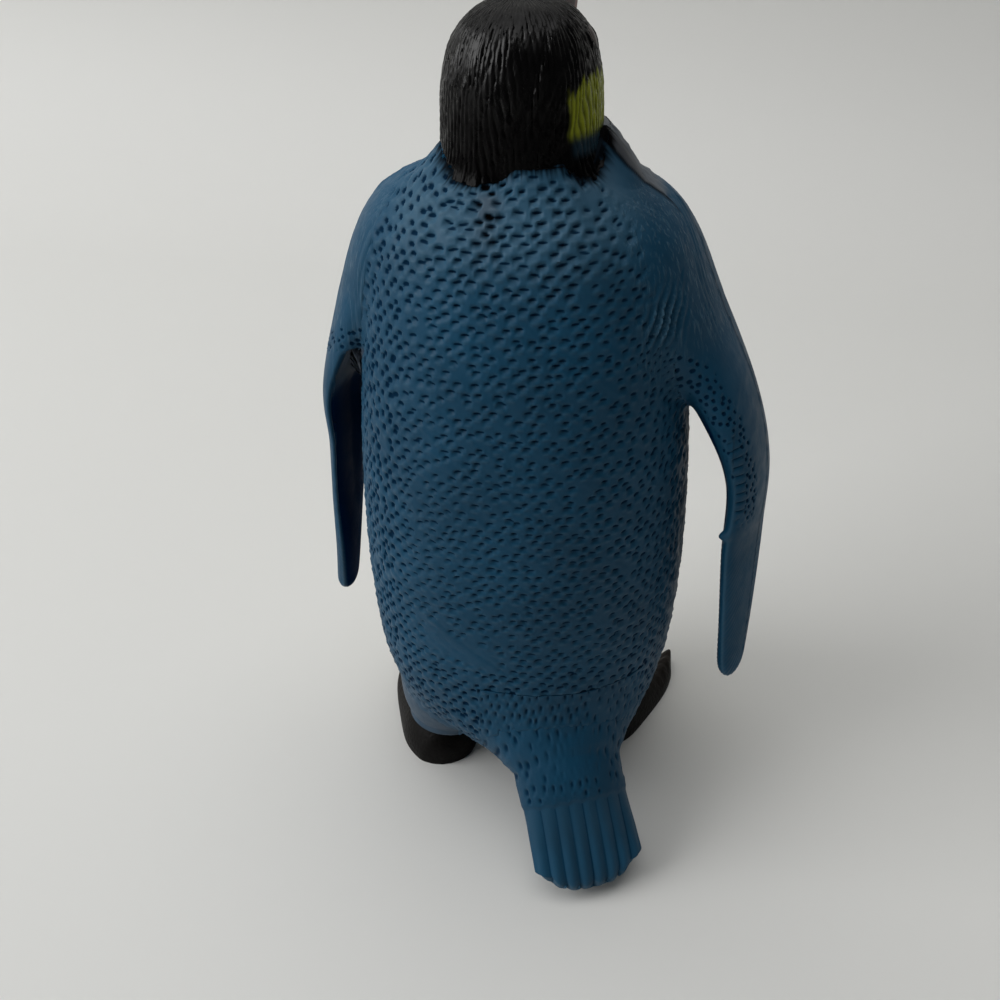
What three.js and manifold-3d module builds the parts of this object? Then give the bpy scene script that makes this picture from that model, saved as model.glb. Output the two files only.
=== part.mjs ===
/*
 * Penguin figurine, about 156 mm tall to the tip of its bill: a hollow soft-PVC toy glued up from
 * separate mouldings.
 * The trunk is two shells that meet on a lip down the flanks. The head slips over the neck, the
 * flippers are trapped by their collars between the shells, and the rump with its tail, the legs
 * and the feet plug in from outside.
 *
 * Millimetres, +Z up. The bird faces -Y, so its left side is +X. The origin lies on the ground
 * under the middle of the whole figure.
 */
import * as THREE from "three";
import { mergeVertices } from "three/addons/utils/BufferGeometryUtils.js";
import Module from "manifold-3d";

const wasm = await Module();
wasm.setup();

// Walls and fits
const clearance = 0.3; // glue gap between two mating pieces
const wall = 2.4; // moulded wall of every hollow piece
const lipThickness = 1.4; // locating lip inside the trunk's parting line
const lipDepth = 3; // reach of that lip to either side of the parting line

// Trunk sections, named from the neck down: height above the ground, half width, depth to back and to front
const trunkHeight = 127; // to the top of the neck
const chestDrop = 41; // chest below the top of the neck
const hipHeight = 32;
const bellyStep = (trunkHeight - chestDrop - hipHeight) / 3; // belly and waist lie evenly from hips to chest
const trunkStations = {
  neck: { height: trunkHeight, halfWidth: 12.6, back: 11.8, front: 12 },
  collar: { height: trunkHeight - 3.2, halfWidth: 19, back: 15, front: 14.6 },
  shoulders: { height: trunkHeight - 11, halfWidth: 24, back: 19.4, front: 18.6 },
  upperBack: { height: trunkHeight - 24, halfWidth: 26.8, back: 23, front: 22.6 },
  chest: { height: trunkHeight - chestDrop, halfWidth: 28.8, back: 25.8, front: 27 },
  waist: { height: hipHeight + 2 * bellyStep, halfWidth: 30, back: 27.6, front: 29.8 },
  belly: { height: hipHeight + bellyStep, halfWidth: 30.2, back: 28.4, front: 31 },
  hips: { height: hipHeight, halfWidth: 28.8, back: 27.6, front: 29 },
  thighs: { height: 20, halfWidth: 24.4, back: 23.4, front: 24.5 },
  hem: { height: 13.5, halfWidth: 17.6, back: 16, front: 18 },
  underside: { height: 11.5, halfWidth: 8.4, back: 7.5, front: 8.5 },
};
const trunkFullness = 2.25; // 2 would make every level section an ellipse
const neckTubeHeight = 9; // reach of the neck tube up into the head

// Head: height above its lower rim, half width, depth to the back of the head and to the face
const headStations = {
  rim: { height: 0, halfWidth: 12.6, back: 11.8, front: 12 },
  nape: { height: 6, halfWidth: 12.5, back: 12, front: 12.4 },
  cheeks: { height: 12, halfWidth: 12, back: 11.6, front: 12.9 },
  brow: { height: 17, halfWidth: 10.5, back: 10.2, front: 12 },
  forehead: { height: 20.6, halfWidth: 7.2, back: 7, front: 8.4 },
  crown: { height: 22.2, halfWidth: 2.6, back: 2.4, front: 2.9 },
};
const headFullness = 2.1;
const headTurn = -12; // degrees, towards the bird's right

// Bill: a slim curved cone on a peg through the face
const billHeight = 14.6; // root above the head's rim
const billRootDepth = 10; // root's distance in front of the neck's axis
const billLength = 21;
const billPitch = 46; // degrees above level
const billHook = 2.4; // drop of the tip from a straight line
const billHalfWidth = 3.9;
const billHalfHeight = 4.3;
const billTipShare = 0.06; // tip's size as a share of the root's
const billTaper = 0.8; // power of the taper: 1 would be a straight cone
const billPegRadius = 2.2;
const billPegLength = 4.5;

// Flipper path on the bird's left: centre's distance out from the trunk's flank, its place fore and aft and
// its drop below the shoulders, then the chord across the blade and the thickness
const flipperSections = {
  root: { out: -8.14, y: -2, drop: -6, chord: 15, thickness: 6.6 },
  shoulder: { out: -2.35, y: -2.5, drop: -0.4, chord: 23, thickness: 10.8 },
  upperArm: { out: 0, y: -3, drop: 13, chord: 25, thickness: 12 },
  elbow: { out: 4.09, y: -3.5, drop: 29, chord: 24, thickness: 9.6 },
  forearm: { out: 6.77, y: -4, drop: 42, chord: 22, thickness: 6.4 },
  blade: { out: 7.01, y: -4, drop: 56, chord: 19, thickness: 5 },
  wrist: { out: 6.65, y: -3, drop: 69.5, chord: 14.5, thickness: 4.4 },
  fingertip: { out: 6.8, y: -2, drop: 78.5, chord: 9, thickness: 3.6 },
  tip: { out: 7.12, y: -1.2, drop: 82.5, chord: 3, thickness: 2 },
};
const leftTwist = 4; // degrees that the rear edge of the blade turns in towards the body
const rightTwist = 14;
const flipperPivotDrop = 8; // the peg below the shoulders
const flipperPivotDepth = 1.98; // the swing's centre inside the flank
const rightSwing = 9; // degrees that the right flipper is carried further back
const rightSpread = 3.5; // degrees that it is carried further out
const flipperPegRadius = 3.6;
const flipperCollarRim = 2.4; // the collar is this much larger in radius than the peg
const flipperCollarThickness = 1.6;
const flipperCollarStandoff = 3.4; // room for the wall's curve between collar and lip

// Rump and tail: path in the tail's own upright plane, half width across it and half thickness
const tailTurn = 25; // degrees from straight back towards the bird's right
const rumpSeamRise = 6.3; // seam above the hips
const rumpFootRise = 3; // foot of the opening above the leg pegs
const rumpHalfWidth = 15.5;
const rumpCorner = 4;
const rumpFlange = 2; // the flange behind the wall is this much wider than the opening
const tailStations = {
  root: { reach: 20, height: 25, halfWidth: 14.5, halfThickness: 9 },
  rump: { reach: 27.5, height: 20.5, halfWidth: 14, halfThickness: 8.4 },
  base: { reach: 33.5, height: 14.8, halfWidth: 10.8, halfThickness: 6.2 },
  feathers: { reach: 39, height: 9, halfWidth: 10, halfThickness: 4 },
  fan: { reach: 43.5, height: 4.6, halfWidth: 10, halfThickness: 2.6 },
  tip: { reach: 45.5, height: 2.6, halfWidth: 8, halfThickness: 1.6 },
};
const tailFeathers = 8;
const tailGroove = 0.5; // depth of the grooves between the tail feathers

// Legs and feet, given for the bird's left
const legAcross = 15;
const legBack = 9; // the left leg's axis behind the trunk's
const stride = 9; // the right foot is set down this far ahead of the left
const crossing = 3.2; // and this much nearer the middle
const legDrop = 3; // middle of the leg below the thighs
const legHalfWidth = 10.6;
const legHalfDepth = 10;
const legSink = 2.5; // the rounded stub would end this far below the ankle
const legPegRadius = 4.4;
const legPegRise = 1; // top of the peg above the thighs
const anklePegRadius = 3.2;
const ankleHeight = 9; // the leg is cut flat here, on top of the foot
const footHeel = { x: 16, y: 14.6 };
const footSplay = 21; // degrees outwards
const footFloor = 2; // sole left under the ankle socket
const footStations = {
  heel: { along: 0, halfWidth: 3.4, height: 3.4 },
  heelPad: { along: 2.6, halfWidth: 6.8, height: 7.6 },
  ankle: { along: 8, halfWidth: 8, height: 10.4 },
  instep: { along: 16, halfWidth: 7.8, height: 8.4 },
  ball: { along: 24, halfWidth: 8.4, height: 4.8 },
  web: { along: 30, halfWidth: 8.8, height: 3 },
  webEdge: { along: 33, halfWidth: 7.6, height: 1.8 },
};
const toeCount = 3;
const toeFan = 13; // degrees between neighbouring toes
const toeRoot = 19;
const toeLength = 18;
const toeHalfWidth = 3;
const toeHeight = 5;
const toeDrop = 0.45; // share of the height lost by the toe's end
const toeEnd = 0.97; // the rounded end is closed this far along

// Facets
const trunkSides = 32;
const headSides = 28;
const stepsPerStation = 2;
const flipperSides = 16;
const tailSides = 32;
const footSides = 8;
const toeSteps = 6;
const billSteps = 10;
const cornerSteps = 5;
const roundSides = 20;
const far = 400; // half the size of the boxes that cut on a plane

// A closed body from points and triangles, turned inside out if its faces point inwards
function bodyFrom(points, triangles) {
  const vertProperties = new Float32Array(points.flatMap((p) => [p.x, p.y, p.z]));
  let volume = 0;
  for (let i = 0; i < triangles.length; i += 3) {
    const [a, b, c] = [points[triangles[i]], points[triangles[i + 1]], points[triangles[i + 2]]];
    volume += a.dot(b.clone().cross(c));
  }
  const order = volume < 0 ? triangles.toReversed() : triangles;
  return new wasm.Manifold(new wasm.Mesh({ numProp: 3, vertProperties, triVerts: new Uint32Array(order) }));
}

// A closed body lofted through rings of points, each end closed by a zigzag of triangles across its ring
function loft(rings) {
  const sides = rings[0].length;
  const points = rings.flat();
  const triangles = [];
  for (let i = 0; i + 1 < rings.length; i++) {
    for (let j = 0; j < sides; j++) {
      const here = i * sides + j;
      const next = i * sides + ((j + 1) % sides);
      triangles.push(here, next, here + sides, next, next + sides, here + sides);
    }
  }
  const lastRing = (rings.length - 1) * sides;
  let [low, high] = [0, sides - 1];
  for (let step = 0; low + 1 < high; step++) {
    const between = step % 2 ? high - 1 : low + 1;
    triangles.push(low, high, between, lastRing + low, lastRing + between, lastRing + high);
    [low, high] = step % 2 ? [low, between] : [between, high];
  }
  return bodyFrom(points, triangles);
}

// A closed body from one of three.js's own closed geometries
function bodyOf(geometry) {
  geometry.deleteAttribute("normal");
  geometry.deleteAttribute("uv");
  const merged = mergeVertices(geometry, 1e-4);
  const place = merged.getAttribute("position");
  const pointAt = (_, i) => new THREE.Vector3().fromBufferAttribute(place, i);
  return bodyFrom(Array.from({ length: place.count }, pointAt), Array.from(merged.index.array));
}

// A box given by its lowest and highest corners
function box(low, high) {
  const size = new THREE.Vector3().subVectors(high, low);
  const middle = new THREE.Vector3().addVectors(low, high).divideScalar(2);
  return bodyOf(new THREE.BoxGeometry(size.x, size.y, size.z).translate(middle.x, middle.y, middle.z));
}

// A round bar between two points
function bar(from, to, radius) {
  const axis = new THREE.Vector3().subVectors(to, from);
  const along = axis.clone().normalize();
  const turn = new THREE.Quaternion().setFromUnitVectors(new THREE.Vector3(0, 1, 0), along);
  const middle = new THREE.Vector3().addVectors(from, to).divideScalar(2);
  const geometry = new THREE.CylinderGeometry(radius, radius, axis.length(), roundSides);
  return bodyOf(geometry.applyQuaternion(turn).translate(middle.x, middle.y, middle.z));
}

// A smooth line through three values of each station, with t from 0 at the first to 1 at the last
function lineThrough(stations, first, second, third) {
  const points = Object.values(stations).map((s) => new THREE.Vector3(s[first], s[second], s[third]));
  return new THREE.CatmullRomCurve3(points, false, "catmullrom", 0.5);
}

// Even steps of t from 0 to 1, and the same with a few steps to each of a row of stations
const evenSteps = (count) => Array.from({ length: count + 1 }, (_, i) => i / count);
const stepsAlong = (stations) => evenSteps((Object.keys(stations).length - 1) * stepsPerStation);

// A skin with full, rounded level sections: t runs along the stations, angle from the back (0) to the left
function skinThrough(stations, fullness) {
  const backLine = lineThrough(stations, "halfWidth", "back", "height");
  const frontLine = lineThrough(stations, "halfWidth", "front", "height");
  return (t, angle) => {
    const section = (Math.cos(angle) < 0 ? frontLine : backLine).getPoint(t);
    const across = Math.abs(Math.sin(angle)) / section.x;
    const along = Math.abs(Math.cos(angle)) / section.y;
    const radius = (across ** fullness + along ** fullness) ** (-1 / fullness);
    return new THREE.Vector3(radius * Math.sin(angle), radius * Math.cos(angle), section.z);
  };
}

// The solid inside a skin moved inwards by an inset, or outwards by a negative one
function insideOf(skin, stations, sides, inset) {
  const small = 1e-3;
  const pointAt = (t, angle) => {
    const around = skin(t, angle + small).sub(skin(t, angle - small));
    const along = skin(Math.min(t + small, 1), angle).sub(skin(Math.max(t - small, 0), angle));
    const outwards = around.cross(along).normalize();
    const radial = new THREE.Vector3(Math.sin(angle), Math.cos(angle), 0);
    if (outwards.dot(radial) < 0) {
      outwards.negate();
    }
    return skin(t, angle).addScaledVector(outwards, -inset);
  };
  const ringAt = (t) => Array.from({ length: sides }, (_, j) => pointAt(t, (j / sides) * 2 * Math.PI));
  return loft(stepsAlong(stations).map(ringAt));
}

const degrees = THREE.MathUtils.degToRad;
const { neck, shoulders, hips, thighs } = trunkStations;
const trunkSkin = skinThrough(trunkStations, trunkFullness);
const trunk = (inset) => insideOf(trunkSkin, trunkStations, trunkSides, inset);
const behind = (y) => box(new THREE.Vector3(-far, y, -far), new THREE.Vector3(far, far, far));
const ahead = (y) => box(new THREE.Vector3(-far, -far, -far), new THREE.Vector3(far, y, far));
const below = (z) => box(new THREE.Vector3(-far, -far, -far), new THREE.Vector3(far, far, z));
const trunkBody = trunk(0);
const trunkHollow = trunk(wall);
const trunkGrown = trunk(-clearance);

// Half width of the trunk at a height, found by halving the range of t
function trunkHalfWidthAt(height) {
  let [low, high] = [0, 1];
  for (let i = 0; i < 40; i++) {
    const middle = (low + high) / 2;
    if (trunkSkin(middle, 0).z > height) {
      low = middle;
    } else {
      high = middle;
    }
  }
  return trunkSkin(low, Math.PI / 2).x;
}

// Neck tube: stands on the trunk's top and fills the head's open rim
const headRim = headStations.rim;
const neckTubeRadius = Math.min(headRim.halfWidth, headRim.back, headRim.front) - wall - clearance;
const onAxis = (z) => new THREE.Vector3(0, 0, z);
const uprightBar = (low, high, radius) => bar(onAxis(low), onAxis(high), radius);
const neckTube = uprightBar(neck.height - wall / 2, neck.height + neckTubeHeight, neckTubeRadius);
const neckBore = uprightBar(shoulders.height, neck.height + 2 * neckTubeHeight, neckTubeRadius - wall);

// Flipper: a flat blade lofted along its path, cut to the trunk, with a peg and collar through the wall
const flipperStation = ([name, { out, y, drop, chord, thickness }]) => {
  const z = shoulders.height - drop;
  return [name, { x: trunkHalfWidthAt(z) + out, y, z, chord, thickness }];
};
const flipperStations = Object.fromEntries(Object.entries(flipperSections).map(flipperStation));
const flipperPivotZ = shoulders.height - flipperPivotDrop;
const shoulderHalfWidth = trunkHalfWidthAt(flipperPivotZ);
const flipperPivotX = shoulderHalfWidth - flipperPivotDepth;
const flipperPath = lineThrough(flipperStations, "x", "y", "z");
const flipperSize = lineThrough(flipperStations, "chord", "thickness", "z");

function flipperPlace(side) {
  const toPivot = new THREE.Matrix4().makeTranslation(-flipperPivotX, 0, -flipperPivotZ);
  const fromPivot = new THREE.Matrix4().makeTranslation(flipperPivotX, 0, flipperPivotZ);
  const place = new THREE.Matrix4();
  if (side < 0) {
    place.multiply(new THREE.Matrix4().makeRotationY(degrees(-rightSpread)));
    place.multiply(new THREE.Matrix4().makeRotationX(degrees(rightSwing)));
  }
  place.multiply(toPivot).premultiply(fromPivot);
  return place.premultiply(new THREE.Matrix4().makeScale(side, 1, 1));
}

function flipperBlade(side) {
  const place = flipperPlace(side);
  const twist = degrees(side < 0 ? rightTwist : leftTwist);
  const foreAndAft = new THREE.Vector3(-Math.sin(twist), Math.cos(twist), 0);
  const ringAt = (t) => {
    const middle = flipperPath.getPoint(t);
    const size = flipperSize.getPoint(t);
    const through = new THREE.Vector3().crossVectors(foreAndAft, flipperPath.getTangent(t)).normalize();
    return Array.from({ length: flipperSides }, (_, j) => {
      const angle = (j / flipperSides) * 2 * Math.PI;
      const point = middle.clone().addScaledVector(foreAndAft, (size.x / 2) * Math.cos(angle));
      return point.addScaledVector(through, (size.y / 2) * Math.sin(angle)).applyMatrix4(place);
    });
  };
  return loft(stepsAlong(flipperStations).map(ringAt));
}

const flipperAxisAt = (x) => new THREE.Vector3(x, 0, flipperPivotZ);
const flipperCollarRadius = flipperPegRadius + flipperCollarRim;
const collarFace = shoulderHalfWidth - wall - clearance - lipThickness - flipperCollarStandoff;
const collarEnd = collarFace - flipperCollarThickness;

function flipperPeg(side, spare) {
  const inner = flipperAxisAt(side * collarEnd);
  const peg = bar(flipperAxisAt(side * (shoulderHalfWidth + wall)), inner, flipperPegRadius + spare);
  return peg.add(bar(flipperAxisAt(side * collarFace), inner, flipperCollarRadius + spare));
}

const flipper = (side) => flipperBlade(side).subtract(trunkGrown).add(flipperPeg(side, 0));

// Rump and tail: a plug of the trunk's own wall with a flange behind it, drawn out into the grooved tail
const tailPlace = new THREE.Matrix4().makeRotationZ(degrees(tailTurn));
const tailPath = lineThrough(tailStations, "reach", "height", "halfWidth");
const tailSize = lineThrough(tailStations, "halfWidth", "halfThickness", "reach");

function tailBlade(spare) {
  const across = new THREE.Vector3(1, 0, 0);
  const groovesFrom = 2 / (Object.keys(tailStations).length - 1);
  const ringAt = (t) => {
    const here = tailPath.getPoint(t);
    const slope = tailPath.getTangent(t);
    const middle = new THREE.Vector3(0, here.x, here.y);
    const outwards = new THREE.Vector3(0, -slope.y, slope.x).normalize();
    const size = tailSize.getPoint(t);
    const depth = tailGroove * THREE.MathUtils.smoothstep(t, groovesFrom, 1);
    return Array.from({ length: tailSides }, (_, j) => {
      const angle = (j / tailSides) * 2 * Math.PI;
      const sideways = Math.cos(angle);
      const ridge = depth * Math.cos(sideways * tailFeathers * Math.PI) * Math.abs(Math.sin(angle));
      const up = (size.y + spare + ridge) * Math.sin(angle);
      const point = middle.clone().addScaledVector(across, (size.x + spare) * sideways);
      return point.addScaledVector(outwards, up).applyMatrix4(tailPlace);
    });
  };
  return loft(stepsAlong(tailStations).map(ringAt));
}

const legPegTop = thighs.height + legPegRise;
const rumpSeamHeight = hips.height + rumpSeamRise;
const rumpFootHeight = legPegTop + rumpFootRise;
// The flange's front corner stays behind the trunk's lip, however far the tail is turned
const rumpCornerReach = (rumpHalfWidth + rumpFlange) * Math.sin(degrees(Math.abs(tailTurn)));
const rumpDepthInside = (lipDepth + 2 * clearance + rumpCornerReach) / Math.cos(degrees(tailTurn));

function rumpCutter(spare) {
  const halfWidth = rumpHalfWidth + spare;
  const [low, high] = [rumpFootHeight - spare, rumpSeamHeight + spare];
  const corner = rumpCorner + spare;
  const outline = new THREE.Shape();
  outline.moveTo(-halfWidth + corner, low).lineTo(halfWidth - corner, low);
  outline.absarc(halfWidth - corner, low + corner, corner, -Math.PI / 2, 0);
  outline.absarc(halfWidth - corner, high - corner, corner, 0, Math.PI / 2);
  outline.absarc(-halfWidth + corner, high - corner, corner, Math.PI / 2, Math.PI);
  outline.absarc(-halfWidth + corner, low + corner, corner, Math.PI, 1.5 * Math.PI);
  const deep = { depth: far, bevelEnabled: false, curveSegments: cornerSteps };
  const geometry = new THREE.ExtrudeGeometry(outline, deep);
  geometry.rotateX(Math.PI / 2).rotateZ(Math.PI).scale(-1, 1, 1).translate(0, rumpDepthInside, 0);
  return bodyOf(geometry.applyMatrix4(tailPlace));
}

const lipHollow = trunk(wall + clearance + lipThickness);
const lipSkin = trunk(wall + clearance);
const rumpOpening = rumpCutter(clearance);

function tailPiece() {
  const backKeepOut = trunkGrown.subtract(rumpCutter(0));
  const plug = trunkBody.add(tailBlade(0)).subtract(backKeepOut);
  return plug.add(lipSkin.intersect(rumpCutter(rumpFlange))).subtract(lipHollow);
}

// Legs: blue stubs pressed up against the trunk's underside on a round peg, cut flat on top of the foot
const legHeight = thighs.height - legDrop;
const legHalfHeight = legHeight - ankleHeight + legSink;
const stepOf = (side) => (side < 0 ? stride : 0);
const crossOf = (side) => (side < 0 ? crossing : 0);
const legAxisAt = (side, z) => new THREE.Vector3(side * legAcross, legBack - stepOf(side), z);
const tailKeepOut = tailBlade(clearance);

function legPeg(side, spare) {
  return bar(legAxisAt(side, ankleHeight), legAxisAt(side, legPegTop), legPegRadius + spare);
}

function anklePeg(side, spare) {
  const bottom = footFloor + clearance - spare;
  return bar(legAxisAt(side, bottom), legAxisAt(side, ankleHeight + wall), anklePegRadius + spare);
}

function leg(side) {
  const stub = new THREE.SphereGeometry(1, roundSides, roundSides / 2).rotateX(Math.PI / 2);
  const middle = legAxisAt(side, legHeight);
  stub.scale(legHalfWidth, legHalfDepth, legHalfHeight).translate(middle.x, middle.y, middle.z);
  const outside = bodyOf(stub).subtract(trunkGrown).subtract(tailKeepOut).subtract(below(ankleHeight));
  return outside.add(legPeg(side, 0)).add(anklePeg(side, 0));
}

// Feet: a flat sole under a domed instep, three toes joined by a web, and a socket for the ankle peg
const footPlace = (side) =>
  new THREE.Matrix4()
    .makeTranslation(side * (footHeel.x - crossOf(side)), footHeel.y - stepOf(side), 0)
    .multiply(new THREE.Matrix4().makeRotationZ(degrees(side * footSplay)));

// A ring with a flat underside on the ground and a rounded top, across the walking direction
function archRing(along, halfWidth, height, place) {
  return Array.from({ length: footSides + 1 }, (_, j) => {
    const angle = (j / footSides) * Math.PI;
    const point = new THREE.Vector3(halfWidth * Math.cos(angle), -along, height * Math.sin(angle));
    return point.applyMatrix4(place);
  });
}

function toe(side, index) {
  const turn = degrees((index - (toeCount - 1) / 2) * toeFan);
  const place = footPlace(side)
    .multiply(new THREE.Matrix4().makeTranslation(0, -toeRoot + toeLength / 2, 0))
    .multiply(new THREE.Matrix4().makeRotationZ(turn))
    .multiply(new THREE.Matrix4().makeTranslation(0, -toeLength / 2, 0));
  const ringAt = (t) => {
    const taper = Math.sqrt(1 - (toeEnd * t) ** 4);
    return archRing(t * toeLength, toeHalfWidth * taper, toeHeight * (1 - toeDrop * t) * taper, place);
  };
  return loft(evenSteps(toeSteps).map(ringAt));
}

function foot(side) {
  const place = footPlace(side);
  const line = lineThrough(footStations, "along", "halfWidth", "height");
  const ringAt = (t) => {
    const size = line.getPoint(t);
    return archRing(size.x, size.y, size.z, place);
  };
  let body = loft(stepsAlong(footStations).map(ringAt));
  for (let index = 0; index < toeCount; index++) {
    body = body.add(toe(side, index));
  }
  return body.intersect(below(ankleHeight - clearance)).subtract(anklePeg(side, clearance));
}

// Trunk shells: the wall between skin and hollow, parted down the flanks, with every opening cut through
const openings = [-1, 1]
  .flatMap((side) => [flipperPeg(side, clearance), legPeg(side, clearance)])
  .reduce((all, opening) => all.add(opening), rumpOpening);
const trunkWithNeck = trunkBody.add(neckTube).subtract(neckBore);
const backShell = trunkWithNeck.intersect(behind(clearance / 2)).subtract(trunkHollow).subtract(openings);

const lipTop = flipperPivotZ - flipperCollarRadius - wall;

function breastShell() {
  const lipZone = behind(-lipDepth).intersect(ahead(lipDepth)).intersect(below(lipTop));
  const front = trunkWithNeck.intersect(ahead(-clearance / 2)).add(lipSkin.intersect(lipZone));
  return front.subtract(trunkHollow.subtract(lipZone)).subtract(lipHollow).subtract(openings);
}

// Head: a hollow dome over the neck tube, turned a little, with a hole in the face for the bill's peg
const headSkin = skinThrough(headStations, headFullness);
const headPlace = new THREE.Matrix4()
  .makeTranslation(0, 0, neck.height + clearance)
  .multiply(new THREE.Matrix4().makeRotationZ(degrees(headTurn)));
const headBody = (inset) => insideOf(headSkin, headStations, headSides, inset).transform(headPlace.elements);
const billRoot = new THREE.Vector3(0, -billRootDepth, billHeight);
const billAim = new THREE.Vector3(0, -Math.cos(degrees(billPitch)), Math.sin(degrees(billPitch)));

function billPeg(spare) {
  const inner = billRoot.clone().addScaledVector(billAim, wall - billPegLength);
  const outer = billRoot.clone().addScaledVector(billAim, 2 * wall);
  return bar(inner, outer, billPegRadius + spare).transform(headPlace.elements);
}

function bill() {
  const upwards = new THREE.Vector3(0, Math.sin(degrees(billPitch)), Math.cos(degrees(billPitch)));
  const ringAt = (t) => {
    const taper = billTipShare + (1 - billTipShare) * (1 - t) ** billTaper;
    const middle = billRoot.clone().addScaledVector(billAim, t * billLength);
    middle.addScaledVector(upwards, -billHook * t * t);
    return Array.from({ length: roundSides }, (_, j) => {
      const angle = (j / roundSides) * 2 * Math.PI;
      const point = middle.clone().addScaledVector(upwards, billHalfHeight * taper * Math.sin(angle));
      return point.setX(billHalfWidth * taper * Math.cos(angle));
    });
  };
  const cone = loft(evenSteps(billSteps).map(ringAt)).transform(headPlace.elements);
  return cone.subtract(headBody(-clearance)).add(billPeg(0));
}

function headShell() {
  const shell = headBody(0).subtract(headBody(wall));
  const rimBore = uprightBar(neck.height - wall, neck.height + 2 * wall, neckTubeRadius + clearance);
  return shell.subtract(rimBore).subtract(billPeg(clearance));
}

// Finishes: soft PVC in mass colours, sprayed and dipped
const finish = (color, roughness) => new THREE.MeshStandardMaterial({ color, roughness, metalness: 0 });
const blue = () => finish(0x35566d, 0.62);
const black = () => finish(0x1b1a1d, 0.5);
const cream = () => finish(0xdfdacb, 0.6);
const horn = () => finish(0x5d5350, 0.5);
const footBlack = () => finish(0x171412, 0.6);

const penguin = new THREE.Group();

function place(name, body, material) {
  const mesh = body.getMesh();
  const geometry = new THREE.BufferGeometry();
  geometry.setAttribute("position", new THREE.BufferAttribute(new Float32Array(mesh.vertProperties), 3));
  geometry.setIndex(new THREE.BufferAttribute(new Uint32Array(mesh.triVerts), 1));
  geometry.computeVertexNormals();
  const piece = new THREE.Mesh(geometry, material);
  piece.name = name;
  penguin.add(piece);
}

place("back_shell", backShell, blue());
place("breast_shell", breastShell(), cream());
place("head_shell", headShell(), black());
place("bill", bill(), horn());
place("tail_piece", tailPiece(), blue());
for (const [name, side] of [["left", 1], ["right", -1]]) {
  place(`${name}_flipper`, flipper(side), blue());
  place(`${name}_leg`, leg(side), blue());
  place(`${name}_foot`, foot(side), footBlack());
}

// The origin goes to the middle of the whole figure's box, on the ground
const extent = new THREE.Box3().setFromObject(penguin);
const centre = extent.getCenter(new THREE.Vector3());
penguin.position.set(-centre.x, -centre.y, -extent.min.z);
penguin.updateMatrixWorld(true);

export default penguin;
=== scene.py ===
import math

import bpy
import numpy as np
from mathutils import Matrix, Vector


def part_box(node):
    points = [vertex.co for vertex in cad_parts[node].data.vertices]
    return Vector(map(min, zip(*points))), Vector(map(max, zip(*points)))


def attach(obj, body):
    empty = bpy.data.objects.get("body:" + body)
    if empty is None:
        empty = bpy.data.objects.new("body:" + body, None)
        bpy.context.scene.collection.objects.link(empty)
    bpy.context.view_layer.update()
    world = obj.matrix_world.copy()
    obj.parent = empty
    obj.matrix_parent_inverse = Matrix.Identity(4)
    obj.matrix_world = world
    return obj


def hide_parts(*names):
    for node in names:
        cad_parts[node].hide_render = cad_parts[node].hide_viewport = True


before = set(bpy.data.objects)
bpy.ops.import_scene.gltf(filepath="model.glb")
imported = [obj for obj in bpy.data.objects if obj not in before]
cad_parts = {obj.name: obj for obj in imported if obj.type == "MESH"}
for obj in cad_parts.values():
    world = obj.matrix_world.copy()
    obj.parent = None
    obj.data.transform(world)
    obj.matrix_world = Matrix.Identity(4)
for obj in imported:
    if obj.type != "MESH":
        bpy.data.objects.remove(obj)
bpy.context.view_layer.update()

# Feet: black-brown soft PVC, moulded with three webbed toes, claws and a flat sole, and pressed up
# onto the ankle pegs. The bird's right foot stands ahead of the left and a little nearer the middle.
MM = 0.001
PARTING_GAP = 0.3
shell_low, shell_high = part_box("back_shell")
AXIS = np.array([(shell_low.x + shell_high.x) / 2, shell_low.y - PARTING_GAP / 2 * MM, 0.0]) / MM
FOOT = np.array([
    # along, half width, height
    [0.0, 1.0, 2.8],
    [0.8, 3.5, 4.8],
    [2.8, 6.0, 7.4],
    [8.0, 8.3, 10.0],
    [16.0, 9.0, 8.4],
    [24.0, 9.1, 4.8],
    [30.0, 8.2, 3.8],
    [33.0, 6.9, 2.9],
])
FOOT_TOP = 8.6
FOOT_SPLAY = {"left": 20, "right": -22}
FOOT_HEEL = {"left": (15.3, 14.9), "right": (-12.6, 4.4)}
TOE_PLACES = (-0.72, 0.0, 0.72)
TOE_SPREAD = 0.22
TOE_RISE = 1.5
TOE_REACH = 2.0
WEB_CUT = 1.8
FOOT_MESH = (120, 120)
SHARP_DEGREES = 62


def through(stations, t):
    """A smooth line through numbered stations: between two of them a cubic that leaves and meets
    each at half the step between that station's two neighbours."""
    rows = np.asarray(stations, float)
    ends = np.vstack([2 * rows[0] - rows[1], rows, 2 * rows[-1] - rows[-2]])
    i = np.clip(np.floor(t).astype(int), 0, len(rows) - 2)
    w = (t - i)[..., None]
    a, b, c, d = ends[i], ends[i + 1], ends[i + 2], ends[i + 3]
    leave, meet = (c - a) / 2, (d - b) / 2
    return ((2 * b - 2 * c + leave + meet) * w - 3 * b + 3 * c - 2 * leave - meet) * w * w + leave * w + b


def ease(x, start, end):
    """0 before start, 1 after end, and a smooth rise between them."""
    share = np.clip((x - start) / (end - start), 0, 1)
    return share * share * (3 - 2 * share)


def bell(x, half):
    """A bell curve: e to the power of less the square of x over its half width."""
    return np.exp(-((x / half) ** 2))


def rings(stations, count):
    """Grids of the station and the angle of each point, for rings of a number of points."""
    return np.meshgrid(stations, np.linspace(0, 2 * np.pi, count, False), indexing="ij")


def turned(points, degrees):
    """Points turned about the upright axis."""
    c, s = math.cos(math.radians(degrees)), math.sin(math.radians(degrees))
    return points @ np.array([[c, s, 0], [-s, c, 0], [0, 0, 1]])


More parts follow.
